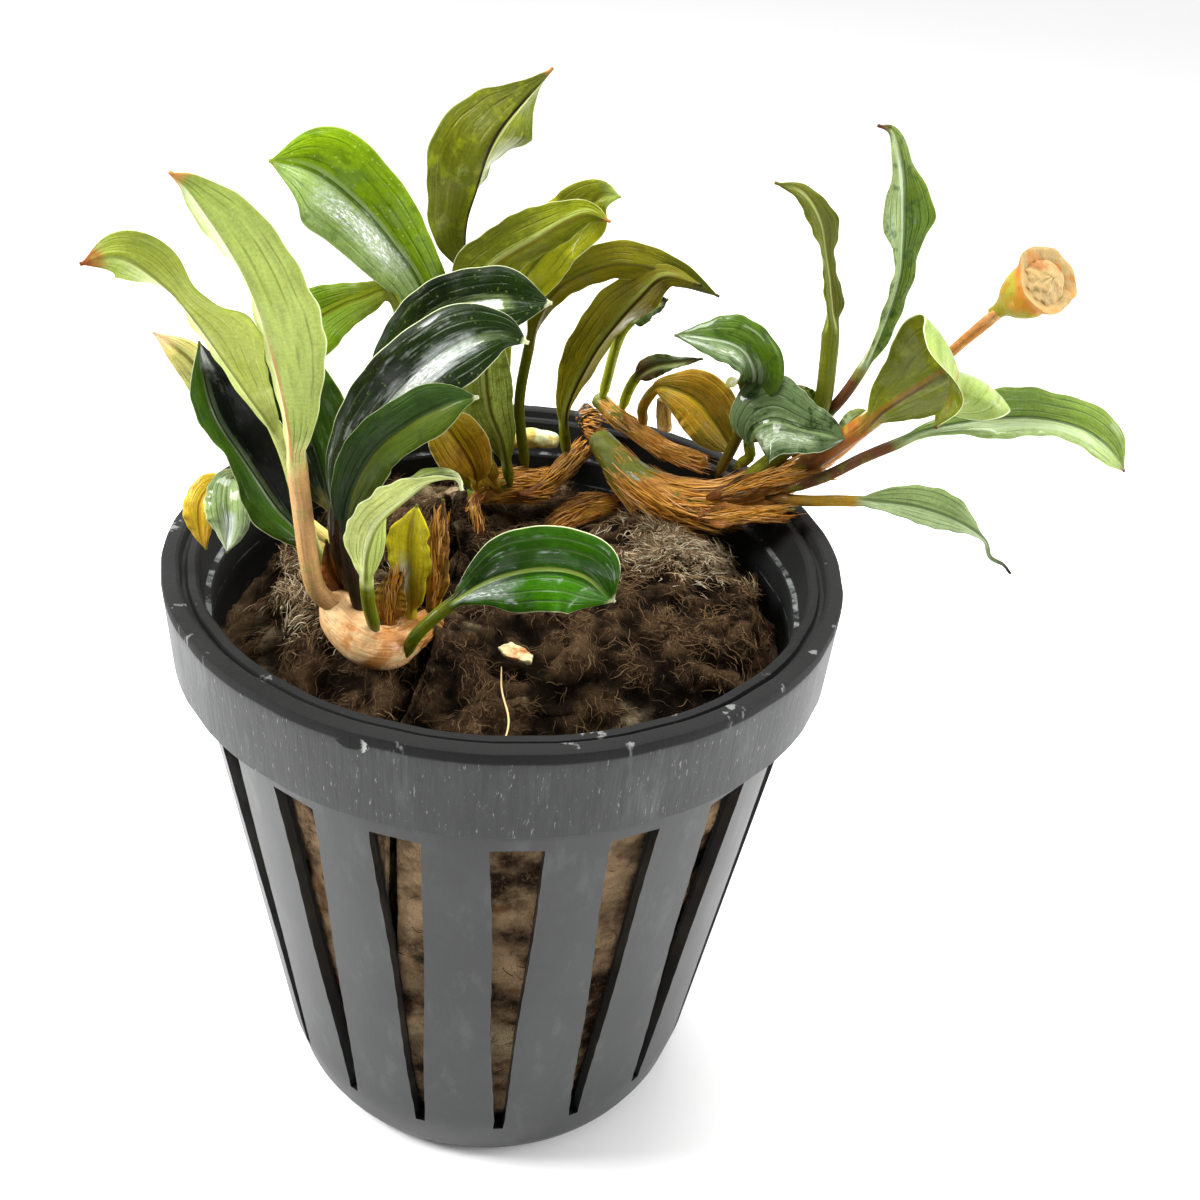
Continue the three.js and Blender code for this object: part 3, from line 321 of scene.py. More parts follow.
class Finish:
    """A material in the making, with one shader. node() adds any node, and the rest are its short forms."""

    def __init__(self, name, **constants):
        self.material = bpy.data.materials.new(name)
        self.material.use_nodes = True
        self.tree = self.material.node_tree
        self.tree.nodes.clear()
        self.shader = self.tree.nodes.new("ShaderNodeBsdfPrincipled")
        output = self.tree.nodes.new("ShaderNodeOutputMaterial")
        self.tree.links.new(self.shader.outputs["BSDF"], output.inputs["Surface"])
        self.feed(**constants)

    def node(self, kind, settings=None, inputs=None, output=0):
        """Adds a node, sets its settings, fills its sockets with values or wires, and gives one output."""
        node = self.tree.nodes.new(kind)
        for key, value in (settings or {}).items():
            if key == "stops":
                while len(node.color_ramp.elements) < len(value):
                    node.color_ramp.elements.new(0.5)
                for element, (position, color) in zip(node.color_ramp.elements, value):
                    element.position = position
                    element.color = color
            else:
                setattr(node, key, value)
        for key, value in (inputs or {}).items():
            self.fill(node.inputs[key], value)
        return Wire(self, node.outputs[output])

    def fill(self, socket, value):
        if isinstance(value, Wire):
            self.tree.links.new(value.socket, socket)
        else:
            socket.default_value = value

    def feed(self, **values):
        """Fills sockets of the shader, named with underscores for spaces."""
        for key, value in values.items():
            self.fill(self.shader.inputs[key.replace("_", " ")], value)

    def math(self, operation, *values):
        return self.node("ShaderNodeMath", {"operation": operation}, dict(enumerate(values)))

    def layer(self, name):
        return self.node("ShaderNodeAttribute", {"attribute_name": name}, output="Fac")

    def place(self):
        return self.node("ShaderNodeTexCoord", output="Object")

    def axes(self, place):
        split = self.node("ShaderNodeSeparateXYZ", inputs={0: place}).socket.node
        return [Wire(self, split.outputs[axis]) for axis in range(3)]

    def vector(self, x, y, z):
        return self.node("ShaderNodeCombineXYZ", inputs={0: x, 1: y, 2: z})

    def stretch(self, place, factors):
        return self.node("ShaderNodeVectorMath", {"operation": "MULTIPLY"}, {0: place, 1: factors})

    def noise(self, place, scale, detail=3.0, roughness=0.55, distortion=0.0):
        sockets = {"Vector": place, "Scale": scale, "Detail": detail}
        sockets.update({"Roughness": roughness, "Distortion": distortion})
        return self.node("ShaderNodeTexNoise", inputs=sockets)

    def cells(self, place, scale):
        sockets = {"Vector": place, "Scale": scale}
        return self.node("ShaderNodeTexVoronoi", inputs=sockets, output="Distance")

    def mask(self, value, low, high):
        """0 below low and 1 above high, with a smooth rise between them."""
        sockets = {"Value": value, "From Min": low, "From Max": high}
        return self.node("ShaderNodeMapRange", {"interpolation_type": "SMOOTHSTEP"}, sockets)

    def ramp(self, value, *stops):
        return self.node("ShaderNodeValToRGB", {"stops": stops}, {0: value})

    def mix(self, factor, first, second, blend="MIX"):
        settings = {"data_type": "RGBA", "blend_type": blend}
        return self.node("ShaderNodeMix", settings, {0: factor, 6: first, 7: second}, output=2)

    def near(self, value, low, high):
        """1 where the value is within low of 0, and 0 where it is beyond high."""
        return 1.0 - self.mask(self.math("ABSOLUTE", value), low, high)

    def grey_ramp(self, value, low, dark, high, light):
        """A grey that goes from dark to light as the value goes from low to high."""
        return self.ramp(value, (low, (dark, dark, dark, 1)), (high, (light, light, light, 1)))

    def bump(self, height, distance):
        """A Bump node: a height of 1 stands `distance` millimetres proud."""
        return self.node("ShaderNodeBump", inputs={"Height": height, "Distance": distance * MM})


# Routes, from the foot to the tip

SHEATH_DEFAULTS = dict(stalk=0.03, fold=(25, 25, 25), wave=0.12, ragged=0.5)

STEMS = {
    "broken_stem_end": dict(
        finish="broken", route=[(5.6, 19.9, 50.4), (6.4, 19.8, 50.9), (7.2, 19.4, 50.9)],
        radii=(0.9, 1.5, 0.9), knobs=0.2,
    ),
    "rhizome_left": dict(
        finish="cream",
        route=[
            (-5, -6.8, 47.5), (-6.4, -9.6, 47.8), (-8.2, -12, 48.2), (-9.8, -11.9, 48.9),
            (-11.2, -10.3, 49.6), (-11.3, -8, 49.8), (-10.6, -5.4, 49.5),
        ],
        radii=(0.8, 1.2, 1.45, 1.55, 1.5, 1.3, 0.8), knobs=0.06,
    ),
    "rhizome_centre": dict(
        finish="stem", route=[(-3.6, 12.4, 46.9), (-1.4, 13.4, 47.4), (1, 14.3, 47.2), (2.6, 15.4, 47)],
        radii=(0.8, 1.4, 1.3, 0.9), knobs=0.15,
    ),
    "rhizome_right_lower": dict(
        finish="stem",
        route=[
            (7.2, 18.4, 50.2), (8.6, 15.6, 49.6), (10.6, 12.6, 48.8), (13.4, 10.8, 48.5), (16.4, 9.6, 49.2),
            (19, 8.8, 50.8), (21, 8.2, 52.2), (22.6, 8, 53.4),
        ],
        radii=(1, 1.4, 1.8, 1.95, 1.85, 1.45, 1.1, 0.8), knobs=0.08,
    ),
    "rhizome_right_upper": dict(
        finish="stem",
        route=[
            (7, 20.6, 53), (8.4, 18.8, 52.4), (9.8, 17.3, 52), (11.8, 14.4, 51.8), (13.8, 12.3, 51.8),
            (15.8, 11, 52),
        ],
        radii=(0.7, 0.8, 0.75, 0.75, 0.7, 0.5), knobs=0.1,
    ),
    "rhizome_link": dict(
        finish="root", route=[(0.4, 12.6, 47.2), (1.8, 13, 47.2), (4, 15.2, 48.2), (6, 18, 49.2)],
        radii=(0.5, 0.75, 0.8, 0.7), knobs=0.15,
    ),
    "stem_back": dict(
        finish="yellow", route=[(-1.2, 19.6, 48.6), (1.5, 20.2, 48.9), (4, 20, 48.8)],
        radii=(0.7, 0.9, 0.6), knobs=0.1,
    ),
    "root_flat": dict(
        finish="root", route=[(9.2, 13, 46.8), (7.2, 11.8, 47.1), (5.2, 10.8, 46.6), (3.6, 10, 45.6)],
        radii=(0.7, 1.15, 0.95, 0.4), flat=0.35, up=(-0.2, -0.7, 0.8),
    ),
    "root_centre": dict(
        finish="root", route=[(-2.2, 12.4, 47.6), (-3, 10.6, 47.4), (-2.6, 9, 46.2), (-2.2, 8, 44.4)],
        radii=(0.45, 0.5, 0.4, 0.25),
    ),
    "root_right": dict(
        finish="root", route=[(12, 10.4, 47.2), (12.4, 8.8, 46.6), (12, 7.8, 45.4), (11.8, 7.4, 43.8)],
        radii=(0.4, 0.45, 0.35, 0.2),
    ),
    "cut_stalk_right": dict(
        finish="sheath", route=[(12.6, 15.2, 52.6), (12.4, 15, 54), (12.2, 14.8, 55.8)],
        radii=(0.75, 0.7, 0.65), flat=0.6,
    ),
    "flower_stalk": dict(
        finish="flower",
        route=[
            (23.2, 8.6, 52.9), (25.6, 9.2, 53.9), (27.8, 9.6, 56), (30.6, 9.7, 59), (33.4, 9.5, 63.2),
            (36.2, 9.1, 66.8),
        ],
        radii=(0.5, 0.45, 0.42, 0.4, 0.42, 0.5),
    ),
}

SHEATHS = {
    "sheath_left_brown": dict(
        finish="sheath", route=[(-10.9, -9.2, 50.6), (-11.7, -9.4, 52.8), (-12.1, -9.5, 55)], width=1.7,
        outline=(0.9, 1, 0.9, 0.7, 0.4),
    ),
    "sheath_left_torn": dict(
        finish="sheath", route=[(-7.8, -10.8, 49.2), (-7.8, -10, 51), (-7.3, -9.3, 53)], width=2.2,
        outline=(0.8, 1, 0.95, 0.85, 0.6),
    ),
    "sheath_left_inner": dict(
        finish="sheath",
        route=[(-5.2, -7.8, 48.6), (-4.9, -7.5, 51.4), (-4.8, -7.1, 54.4), (-4.6, -6.8, 57)], width=1.9,
        outline=(0.7, 1, 0.8, 1, 0.6),
    ),
    "sheath_left_yellow": dict(
        finish="yellow",
        route=[(-6.6, -9.4, 49), (-6.6, -9.1, 52.4), (-6.6, -8.9, 55.2), (-6.2, -8.8, 57.6)], width=2.9,
        outline=(0.75, 0.85, 1, 1, 0.85),
    ),
    "sheath_centre_yellow": dict(
        finish="yellow", route=[(-1.4, 12, 48.2), (-2.4, 11.4, 49.8), (-4, 10.6, 51.8), (-5.6, 10, 53.6)],
        width=2.8, outline=(0.8, 1, 1, 0.9, 0.7),
    ),
    "sheath_right_low": dict(
        finish="sheath", route=[(15.4, 7.8, 48.6), (18, 6.2, 49.8), (20, 5, 50.7), (22.2, 4.4, 51.6)],
        width=1.9, outline=(0.9, 1, 0.8, 0.5, 0.25),
    ),
    "sheath_right_fibrous": dict(
        finish="sheath", route=[(16.4, 7.4, 50.9), (19.4, 6.4, 52.7), (22, 6, 53.3), (25.2, 5, 54.4)],
        width=1.7, outline=(0.9, 1, 0.85, 0.6, 0.3),
    ),
    "bract_right": dict(
        finish="olive", route=[(23.5, 9.7, 57.2), (22.8, 10, 58.6), (21.8, 10.2, 59.6)], width=1.8,
        outline=(0.8, 1, 0.9, 0.65, 0.4),
    ),
}

LEAVES = {
    "leaf_left_tall": dict(
        finish="pale",
        route=[
            (-11.6, -10.6, 50.4), (-12.8, -11, 52.6), (-13.2, -11.8, 59.4), (-13.2, -12.8, 63),
            (-13.6, -14.2, 68.8), (-14.4, -16.6, 74.8), (-16.4, -18.2, 79.6), (-17.6, -18.2, 80.8),
        ],
        width=6, stalk=0.37, facing=BACK, turn=(-20, -30, -32, -40), fold=(30, 35, 30),
        outline=(0.45, 0.75, 0.95, 1, 0.98, 0.9, 0.65), stalk_radius=0.65,
    ),
    "leaf_left_arching": dict(
        finish="pale",
        route=[
            (-12, -9, 50.8), (-13.4, -9.2, 55.8), (-14.6, -9.4, 61.8), (-16.2, -10.6, 65.8),
            (-18, -13.6, 71.2), (-19.2, -15.4, 74), (-21, -16.6, 75.8), (-23, -17, 75.4),
        ],
        width=5, stalk=0.38, facing=BACK, turn=(-15, -45, -45, -20), fold=(20, 25, 20),
        outline=(0.5, 0.9, 1.15, 0.55, 0.72),
    ),
    "leaf_left_dark_broad": dict(
        finish="dark",
        route=[
            (-12, -7.8, 50.6), (-13.8, -7.6, 53.6), (-15.8, -7.2, 55.8), (-17.8, -6.8, 59),
            (-19.4, -6.4, 61.6), (-20, -6.4, 64.4), (-19.8, -7, 67.4),
        ],
        width=7.2, stalk=0.15, turn=(25, 45, 52), fold=(25, 42, 45), outline=(0.65, 0.95, 1, 0.88, 0.75),
    ),
    "leaf_left_hidden": dict(
        finish="olive",
        route=[
            (-10.8, -4.3, 50.4), (-15.5, -1.8, 52.9), (-19, -0.6, 58.5), (-21.8, -0.6, 63), (-24.6, 0, 65),
        ],
        width=3.2, stalk=0.4,
    ),
    "leaf_left_short_grey": dict(
        finish="dark",
        route=[
            (-11.8, -6.5, 50.6), (-16, -5.6, 53.8), (-18.1, -5, 56), (-18.8, -5.6, 56.9), (-18.8, -7, 56.2),
            (-18.6, -8, 54.8), (-18.8, -8.8, 53.2),
        ],
        width=3.2, stalk=0.6, outline=(0.7, 1, 1, 0.85, 0.5),
    ),
    "leaf_left_short_yellow": dict(
        finish="yellow",
        route=[
            (-11.4, -5.2, 50.4), (-16.4, -4, 53.2), (-19.6, -2.8, 54.6), (-20.8, -2.8, 54.9),
            (-21.5, -3.8, 54.1), (-21.4, -4.8, 52.6), (-21, -5.6, 51.4),
        ],
        width=2.4, stalk=0.6, outline=(0.7, 1, 1, 0.85, 0.5),
    ),
    "leaf_left_dark_back": dict(
        finish="dark",
        route=[(-10.4, -6.4, 51), (-12.3, -4, 54), (-13.8, -2.2, 58.5), (-16, -1, 63), (-18, -1, 66)],
        width=6.6, stalk=0.22,
    ),
    "leaf_left_glossy": dict(
        finish="dark",
        route=[
            (-10.7, -9.2, 51), (-11.3, -9.9, 54.5), (-11.3, -10, 58), (-9.6, -10.4, 62.5), (-7, -11, 66.5),
            (-4, -11.5, 69.6), (-1.2, -12, 71), (0.6, -12, 70.5),
        ],
        width=5, stalk=0.25, fold=(15, 8, 8), outline=(0.6, 0.9, 1, 1, 0.85),
    ),
    "leaf_left_glossy_back": dict(
        finish="dark",
        route=[
            (-10, -7, 51.2), (-11, -5.9, 56), (-10.2, -4.8, 61.6), (-7.8, -4.4, 65.9), (-4.8, -4.4, 69),
            (-1.6, -5, 70.4), (2, -5.6, 70.7),
        ],
        width=4.6, stalk=0.45, fold=(15, 8, 8), outline=(0.6, 0.9, 1, 1, 0.85),
    ),
    "leaf_left_green_inner": dict(
        finish="bright",
        route=[
            (-9.9, -11, 50.8), (-10.5, -11.3, 55.8), (-10.2, -11.6, 59.2), (-8.6, -12, 62.8),
            (-6.2, -12.8, 65.4), (-3.8, -13.2, 67), (-2.2, -13.6, 67.6),
        ],
        width=3.4, stalk=0.28, outline=(0.7, 1, 1, 1, 0.9),
    ),
    "leaf_left_small_curled": dict(
        finish="pale",
        route=[
            (-8.7, -12.4, 50.2), (-9, -12.9, 52.4), (-9, -13.6, 55), (-8.8, -14.2, 57.2), (-8, -14.8, 59.6),
            (-6.6, -15, 61.2), (-5, -15, 62.6), (-3.4, -14.8, 62.8), (-3, -14.8, 62),
        ],
        width=3.8, stalk=0.25, facing=(0.1, 0.45, 0.9), turn=(10, 20, 20), fold=(25, 45, 40),
        outline=(0.7, 0.95, 0.95, 0.85, 0.5),
    ),
    "leaf_front_glossy": dict(
        finish="bright",
        route=[
            (-7, -13, 48.2), (-5.6, -12.2, 50), (-3.6, -11.6, 51.8), (-1, -11, 53.4), (2.2, -11, 54.4),
            (5, -11, 54), (7.2, -11.2, 52.2),
        ],
        width=5.8, stalk=0.28, outline=(0.45, 0.9, 1, 1, 0.85),
    ),
    "leaf_centre_bright": dict(
        finish="bright",
        route=[
            (-2.9, 13.4, 49), (-4.9, 11.9, 56), (-7, 9.8, 64.8), (-9.5, 8.7, 69.3), (-12, 8, 72.3),
            (-14.6, 7.5, 74.3), (-17.5, 7, 75),
        ],
        width=7, stalk=0.4, outline=(0.5, 0.68, 0.88, 1, 1),
    ),
    "leaf_centre_low_yellow": dict(
        finish="yellow",
        route=[
            (-3.9, 12.2, 48.6), (-5.5, 11.2, 53), (-6.5, 10, 58.4), (-8.6, 8.8, 63.4), (-9.2, 8.6, 65),
            (-10, 8.2, 65.8), (-11.2, 7.8, 65.4), (-12.6, 7.2, 65), (-14.2, 6.6, 64.2), (-16, 5.8, 63),
            (-18, 5, 61.8),
        ],
        width=5, stalk=0.6, fold=(20, 10, 5), outline=(0.33, 0.58, 0.83, 1, 0.8),
    ),
    "leaf_centre_tall": dict(
        finish="olive",
        route=[
            (-2, 14.5, 49), (-3.4, 13.5, 57), (-4.5, 11.4, 68.3), (-3.5, 10.2, 73.4), (-2, 9.6, 77.4),
            (1.5, 8.5, 82),
        ],
        width=8, stalk=0.5, facing=BACK, turn=(80, 70, 28, 70), fold=(25, 36, 40),
        outline=(0.55, 0.85, 1, 0.85, 0.38),
    ),
    "leaf_centre_mid": dict(
        finish="yellow",
        route=[
            (-1.8, 12.6, 49), (-3.3, 11.6, 57.5), (-4.7, 9.2, 64.6), (-2.4, 8.6, 67.8), (1, 8.2, 70.4),
            (4.2, 8.2, 72.4), (6.2, 8.2, 72),
        ],
        width=4.8, stalk=0.55, facing=BACK, turn=(45, 45, 30), fold=(20, 30, 20),
        outline=(0.9, 1, 1, 0.8, 0.5),
    ),
    "leaf_centre_yellow_back": dict(
        finish="yellow",
        route=[
            (-0.6, 15.2, 49), (-1, 14.8, 57), (-0.5, 14, 63.6), (2, 13.4, 68.2), (4, 13, 70.6),
            (5.6, 12.8, 72.4), (7.1, 12.6, 72.6),
        ],
        width=5, stalk=0.45, outline=(0.6, 0.9, 1, 1, 0.85), wave=0.5,
    ),
    "leaf_centre_arch_back": dict(
        finish="olive",
        route=[
            (1, 15.4, 48.8), (0.3, 15.2, 54), (0.7, 15, 58.4), (1.5, 14.2, 62.4), (3.1, 13.2, 65.4),
            (5.8, 12.4, 67.2), (8.2, 12, 67.8), (11.8, 11.8, 67.2), (15.2, 11.6, 65.8),
        ],
        width=3.4, stalk=0.35, facing=BACK, turn=(40, 40, 40), fold=(20, 20, 20),
    ),
    "leaf_centre_arch_front": dict(
        finish="olive",
        route=[
            (4.5, 17, 49.4), (4.2, 16.4, 53.4), (5.8, 15.4, 58.4), (7.4, 13.8, 62), (9, 12.4, 64.8),
            (10.8, 11.2, 67.2), (13.6, 10.4, 67),
        ],
        width=5, stalk=0.08, facing=BACK, turn=(40, 45, 15), fold=(30, 35, 20),
        outline=(0.5, 0.95, 1, 0.95, 0.5),
    ),
    "leaf_centre_upright": dict(
        finish="olive",
        route=[(-0.3, 12.2, 49), (-0.9, 11.3, 52.5), (-2, 10.4, 56), (-2.4, 9.6, 60.2), (-1.9, 9, 64)],
        width=4.4, stalk=0.05, facing=BACK, turn=(10, 10, 10), outline=(0.45, 0.85, 1, 0.9, 0.6),
    ),
    "leaf_centre_old_yellow": dict(
        finish="yellow", route=[(-2.9, 11.2, 48.6), (-3.3, 10, 51), (-4.6, 9, 53.8), (-6.2, 8.4, 56.4)],
        width=4.6, stalk=0.05, outline=(0.5, 0.85, 1, 1, 0.8),
    ),
    "leaf_back_hanging": dict(
        finish="dark",
        route=[
            (7.5, 19.6, 53.8), (7.7, 18.9, 55.6), (8, 17.8, 58.4), (8.5, 17, 60.6), (9.5, 16.3, 62.2),
            (10.5, 15.7, 63.3), (11.7, 15.1, 64.1),
        ],
        width=2.1, stalk=0.68, outline=(0.9, 1, 1, 0.9, 0.7),
    ),
    "leaf_back_narrow": dict(
        finish="dark",
        route=[
            (9.2, 18.4, 53.3), (9.5, 17.8, 55), (10.1, 17.1, 56.6), (11.4, 16.6, 57.8), (13.2, 16.2, 58.4),
            (15.2, 15.8, 59),
        ],
        width=2, stalk=0.35, outline=(0.9, 1, 0.8, 0.5, 0.3),
    ),
    "leaf_right_drooping": dict(
        finish="dark",
        route=[
            (17, 10.9, 51.4), (17.8, 9.8, 54.8), (18.2, 9.1, 58), (18.3, 8.5, 60.4), (17.4, 8.1, 62.3),
            (16, 7.8, 63.4), (13.8, 7.7, 63.8), (11.6, 7.9, 63.9),
        ],
        width=5.2, stalk=0.36, facing=(-0.3, -0.5, 0.8), outline=(0.6, 0.95, 1, 0.85, 0.5),
    ),
    "leaf_right_heart": dict(
        finish="dark",
        route=[
            (18.2, 9.1, 52.9), (18.7, 8, 54.2), (18.3, 7.3, 55.8), (18.5, 6.8, 57.2), (19.8, 6.2, 58.2),
            (22.2, 5.8, 57.8), (24, 5.6, 57.6), (25.4, 5.6, 57.2),
        ],
        width=7.6, stalk=0.28, turn=(-15, -15, -15), fold=(8, 10, 12), outline=(0.7, 1, 0.75, 0.6, 0.4),
    ),
    "leaf_right_old_yellow": dict(
        finish="yellow",
        route=[
            (10.9, 16.4, 52.8), (10.6, 15.4, 54.6), (11.4, 14.2, 56.8), (12.6, 13.4, 57.2),
            (14.6, 12.8, 56.6), (16.4, 12.2, 54.8), (18.2, 12.2, 52.2),
        ],
        width=5.2, stalk=0.28, outline=(0.4, 0.85, 1, 0.95, 0.6),
    ),
    "leaf_right_twisted": dict(
        finish="olive",
        route=[
            (18.9, 7.6, 52.5), (20.2, 8, 53.6), (21.6, 8.3, 54.9), (23.2, 8.7, 56.6), (24, 9.1, 58.6),
            (24, 9.5, 61.6), (23.8, 9.9, 64.4), (23.1, 10.2, 67.6), (22.4, 10.4, 70), (21.6, 10.4, 72.4),
            (20, 10, 74.4), (17.8, 9.4, 75.2),
        ],
        width=3, stalk=0.5, turn=(40, 40, -20), fold=(35, 25, 15),
        outline=(0.75, 0.7, 0.75, 0.95, 0.7, 0.4), stalk_radius=0.7,
    ),
    "leaf_right_upright": dict(
        finish="bright",
        route=[
            (22.9, 9.4, 54.4), (24.2, 9.2, 57), (25.6, 9, 59.4), (26.8, 9.2, 62), (27.6, 9.4, 65),
            (28.1, 9.6, 68.6), (27.9, 9.6, 71.2), (27.5, 9.4, 73.6), (27, 9.2, 75.8), (26.2, 9, 77.9),
            (25.3, 8.7, 79.4), (24.2, 8.4, 79.8),
        ],
        width=4.5, stalk=0.28, turn=(45, 40, 10, 5), fold=(30, 30, 20, 20),
        outline=(0.35, 0.45, 0.56, 0.66, 0.66, 1, 0.78, 0.4, 0.3),
    ),
    "leaf_right_folded": dict(
        finish="bright",
        route=[
            (22.6, 6.6, 54.1), (24.2, 6.4, 55.6), (26.8, 6, 58.4), (28.4, 5.4, 60.4), (30.2, 4.8, 62.3),
            (31.5, 3.9, 63.8), (31.8, 2.4, 64.3), (31.1, 0.7, 63.6), (29.9, -0.8, 61.4),
        ],
        width=10.4, stalk=0.3, facing=(1, 0.8, 1.2), fold=(12, 10, 10),
        outline=(0.35, 0.62, 0.88, 1, 0.85, 0.5), stalk_radius=0.8,
    ),
    "leaf_right_long": dict(
        finish="bright",
        route=[
            (22, 4.9, 53.3), (24.4, 4.9, 54.4), (27, 5.4, 55.8), (30, 5.8, 57.2), (32, 6, 58.1),
            (36.4, 6, 59.2), (39.8, 5.6, 59.7), (43, 5, 59.4), (45.4, 4.6, 58.2), (47.4, 4.4, 56.3),
        ],
        width=4.8, stalk=0.3, turn=(-25, -25, -20), fold=(20, 25, 20),
        outline=(0.3, 0.5, 0.95, 1, 0.95, 1, 0.75),
    ),
    "leaf_right_low": dict(
        finish="bright",
        route=[
            (21, 5.3, 51.9), (23.4, 4.7, 52.2), (25.6, 4.4, 52.5), (28.2, 4.2, 52.6), (31.6, 4, 52.4),
            (34.8, 3.6, 51.6), (37.2, 3, 50.4), (38, 2.8, 49), (39, 2.4, 48.6), (39.8, 2.4, 47.8),
        ],
        width=3.8, stalk=0.28, turn=(-25, -25, -20), fold=(25, 25, 20),
        outline=(0.6, 0.95, 1, 0.75, 0.2, 0.1),
    ),
    "leaf_right_fragment": dict(
        finish="bright", route=[(23.6, 7.8, 54.8), (25.4, 8.2, 55.6), (27, 9.8, 57), (28.4, 10.6, 57.3)],
        width=1.8, stalk=0.3,
    ),
}


# Leaves

# How far a stalk's foot reaches into what it grows from, and the length over which it bends towards that
FOOT_DEPTH = 0.9
SINK_LENGTH = 2.2
FOOT_TAPER = 0.4

# The share of the blade in which the round stalk flattens into it
GROWING_SHARE = 0.12

FOOT_SINKS = {
    "leaf_right_low": (0, 0.9, -0.4),
    "leaf_right_long": (0, 0.4, -0.3),
    "leaf_front_glossy": (0.3, 1.1, -0.4),
    "leaf_left_tall": (0.4, 0.2, -0.3),
}

LEAF_DEFAULTS = dict(
    facing=FRONT, turn=(0, 0, 0), fold=(15, 15, 15), outline=(0.55, 0.88, 1, 0.92, 0.65), wave=0.25,
    stalk_radius=STALK_RADIUS, ragged=0.0,
)


def leaf_surface(leaf, sink):
    """A leaf's points, rows by columns, and its layers.

    Each row is a lens across the route. Across it, u is the cosine of the angle round the lens and v the
    sine, so u runs from margin to margin and v from the lower face to the upper. A point stands off the
    route by the half width times u, tipped up by the fold, plus a wave that grows as u squared, a short
    ruffle that grows as u to the fourth, an arch on each half of the blade, and the half thickness times
    v. Down the stalk the lens is a circle. Inside a bend the margins are drawn in. The foot is drawn
    towards `sink` from its route.
    """
    leaf = {**LEAF_DEFAULTS, **leaf}
    route = Route(leaf["route"])
    stalk = leaf["stalk"]
    stalk_rows = max(4, int(2.2 * stalk * route.length))
    blade = np.linspace(0, 1, BLADE_ROWS)
    blade = 0.6 * blade + 0.4 * (1 - np.cos(math.pi * blade)) / 2
    s = np.concatenate([np.linspace(0, stalk, stalk_rows, endpoint=False), stalk + (1 - stalk) * blade])
    share = np.clip((s - stalk) / (1 - stalk), 0, 1)
    grown = np.minimum(1, share / GROWING_SHARE)
    centre = route.at(s)
    tangent = route.tangent(s)
    facing = np.array(leaf["facing"], float)
    face = unit(facing - tangent * (tangent @ facing)[:, None])
    turn = np.radians(straight_curve(leaf["turn"], share))[:, None]
    face = face * np.cos(turn) + np.cross(tangent, face) * np.sin(turn)
    side = np.cross(tangent, face)
    sunk = np.clip(1 - s * route.length / SINK_LENGTH, 0, 1) ** 2
    centre = centre + sunk[:, None] * np.array(sink, float)
    centre[0] -= tangent[0] * FOOT_DEPTH

    outline = smooth_curve([0, *leaf["outline"], 0], share) * leaf["width"] / 2
    half_width = np.maximum(np.maximum(outline, leaf["stalk_radius"] * np.sqrt(1 - share)), TIP_HALF_WIDTH)
    blade_half = BLADE_HALF_THICKNESS + (TIP_HALF_WIDTH - BLADE_HALF_THICKNESS) * share
    half_thickness = leaf["stalk_radius"] + (blade_half - leaf["stalk_radius"]) * grown
    half_width[0] *= FOOT_TAPER
    half_thickness[0] *= FOOT_TAPER
    fold = (np.radians(smooth_curve(leaf["fold"], share)) * grown)[:, None]

    angle = FULL_TURN * np.arange(LEAF_COLUMNS) / LEAF_COLUMNS
    u, v = np.cos(angle), np.sin(angle)
    side_shift = np.where(u > 0, 0, 1.7)
    down = share[:, None]
    margin_place = np.stack(np.broadcast_arrays(down * route.length, np.sign(u) * 5, leaf["width"]), -1)
    tatter = leaf["ragged"] * noise(margin_place, 1.1) * np.abs(u) ** 3
    reach = half_width[:, None] * u * (1 + tatter)
    ripple = leaf["wave"] * np.sin(FULL_TURN * WAVES * down + side_shift) * u ** 2
    ruffle = RUFFLE_HEIGHT * np.sin(FULL_TURN * RUFFLES * down + 2.2 * side_shift) * u ** 4
    crease = np.sqrt(reach ** 2 + CREASE_ROUNDING) - math.sqrt(CREASE_ROUNDING)
    arch = ARCH_SHARE * half_width[:, None] * (1 - (2 * np.abs(u) - 1) ** 2) * grown[:, None]
    lift = crease * np.sin(fold) + (ripple + ruffle) * np.sin(math.pi * down) + arch
    offset = side[:, None] * (reach * np.cos(fold))[..., None] + face[:, None] * lift[..., None]
    inwards = np.einsum("rk,rck->rc", route.bend(s), offset)
    drawn = np.where(inwards > INNER_BEND_SHARE, INNER_BEND_SHARE / np.maximum(inwards, 1e-6), 1)
    offset *= drawn[..., None]
    rib = MIDRIB_HEIGHT * np.exp(-(reach / MIDRIB_WIDTH) ** 2) * (v < 0) * (grown * (1 - share))[:, None]
    places = centre[:, None] + offset + face[:, None] * ((half_thickness[:, None] + rib) * v)[..., None]
    along = share + (s / stalk - 1) * (s < stalk)
    whole = (u, v, reach, along[:, None], (s * route.length)[:, None])
    names = ("across", "upper", "reach", "along", "run")
    return places, dict(zip(names, np.broadcast_arrays(*whole)))


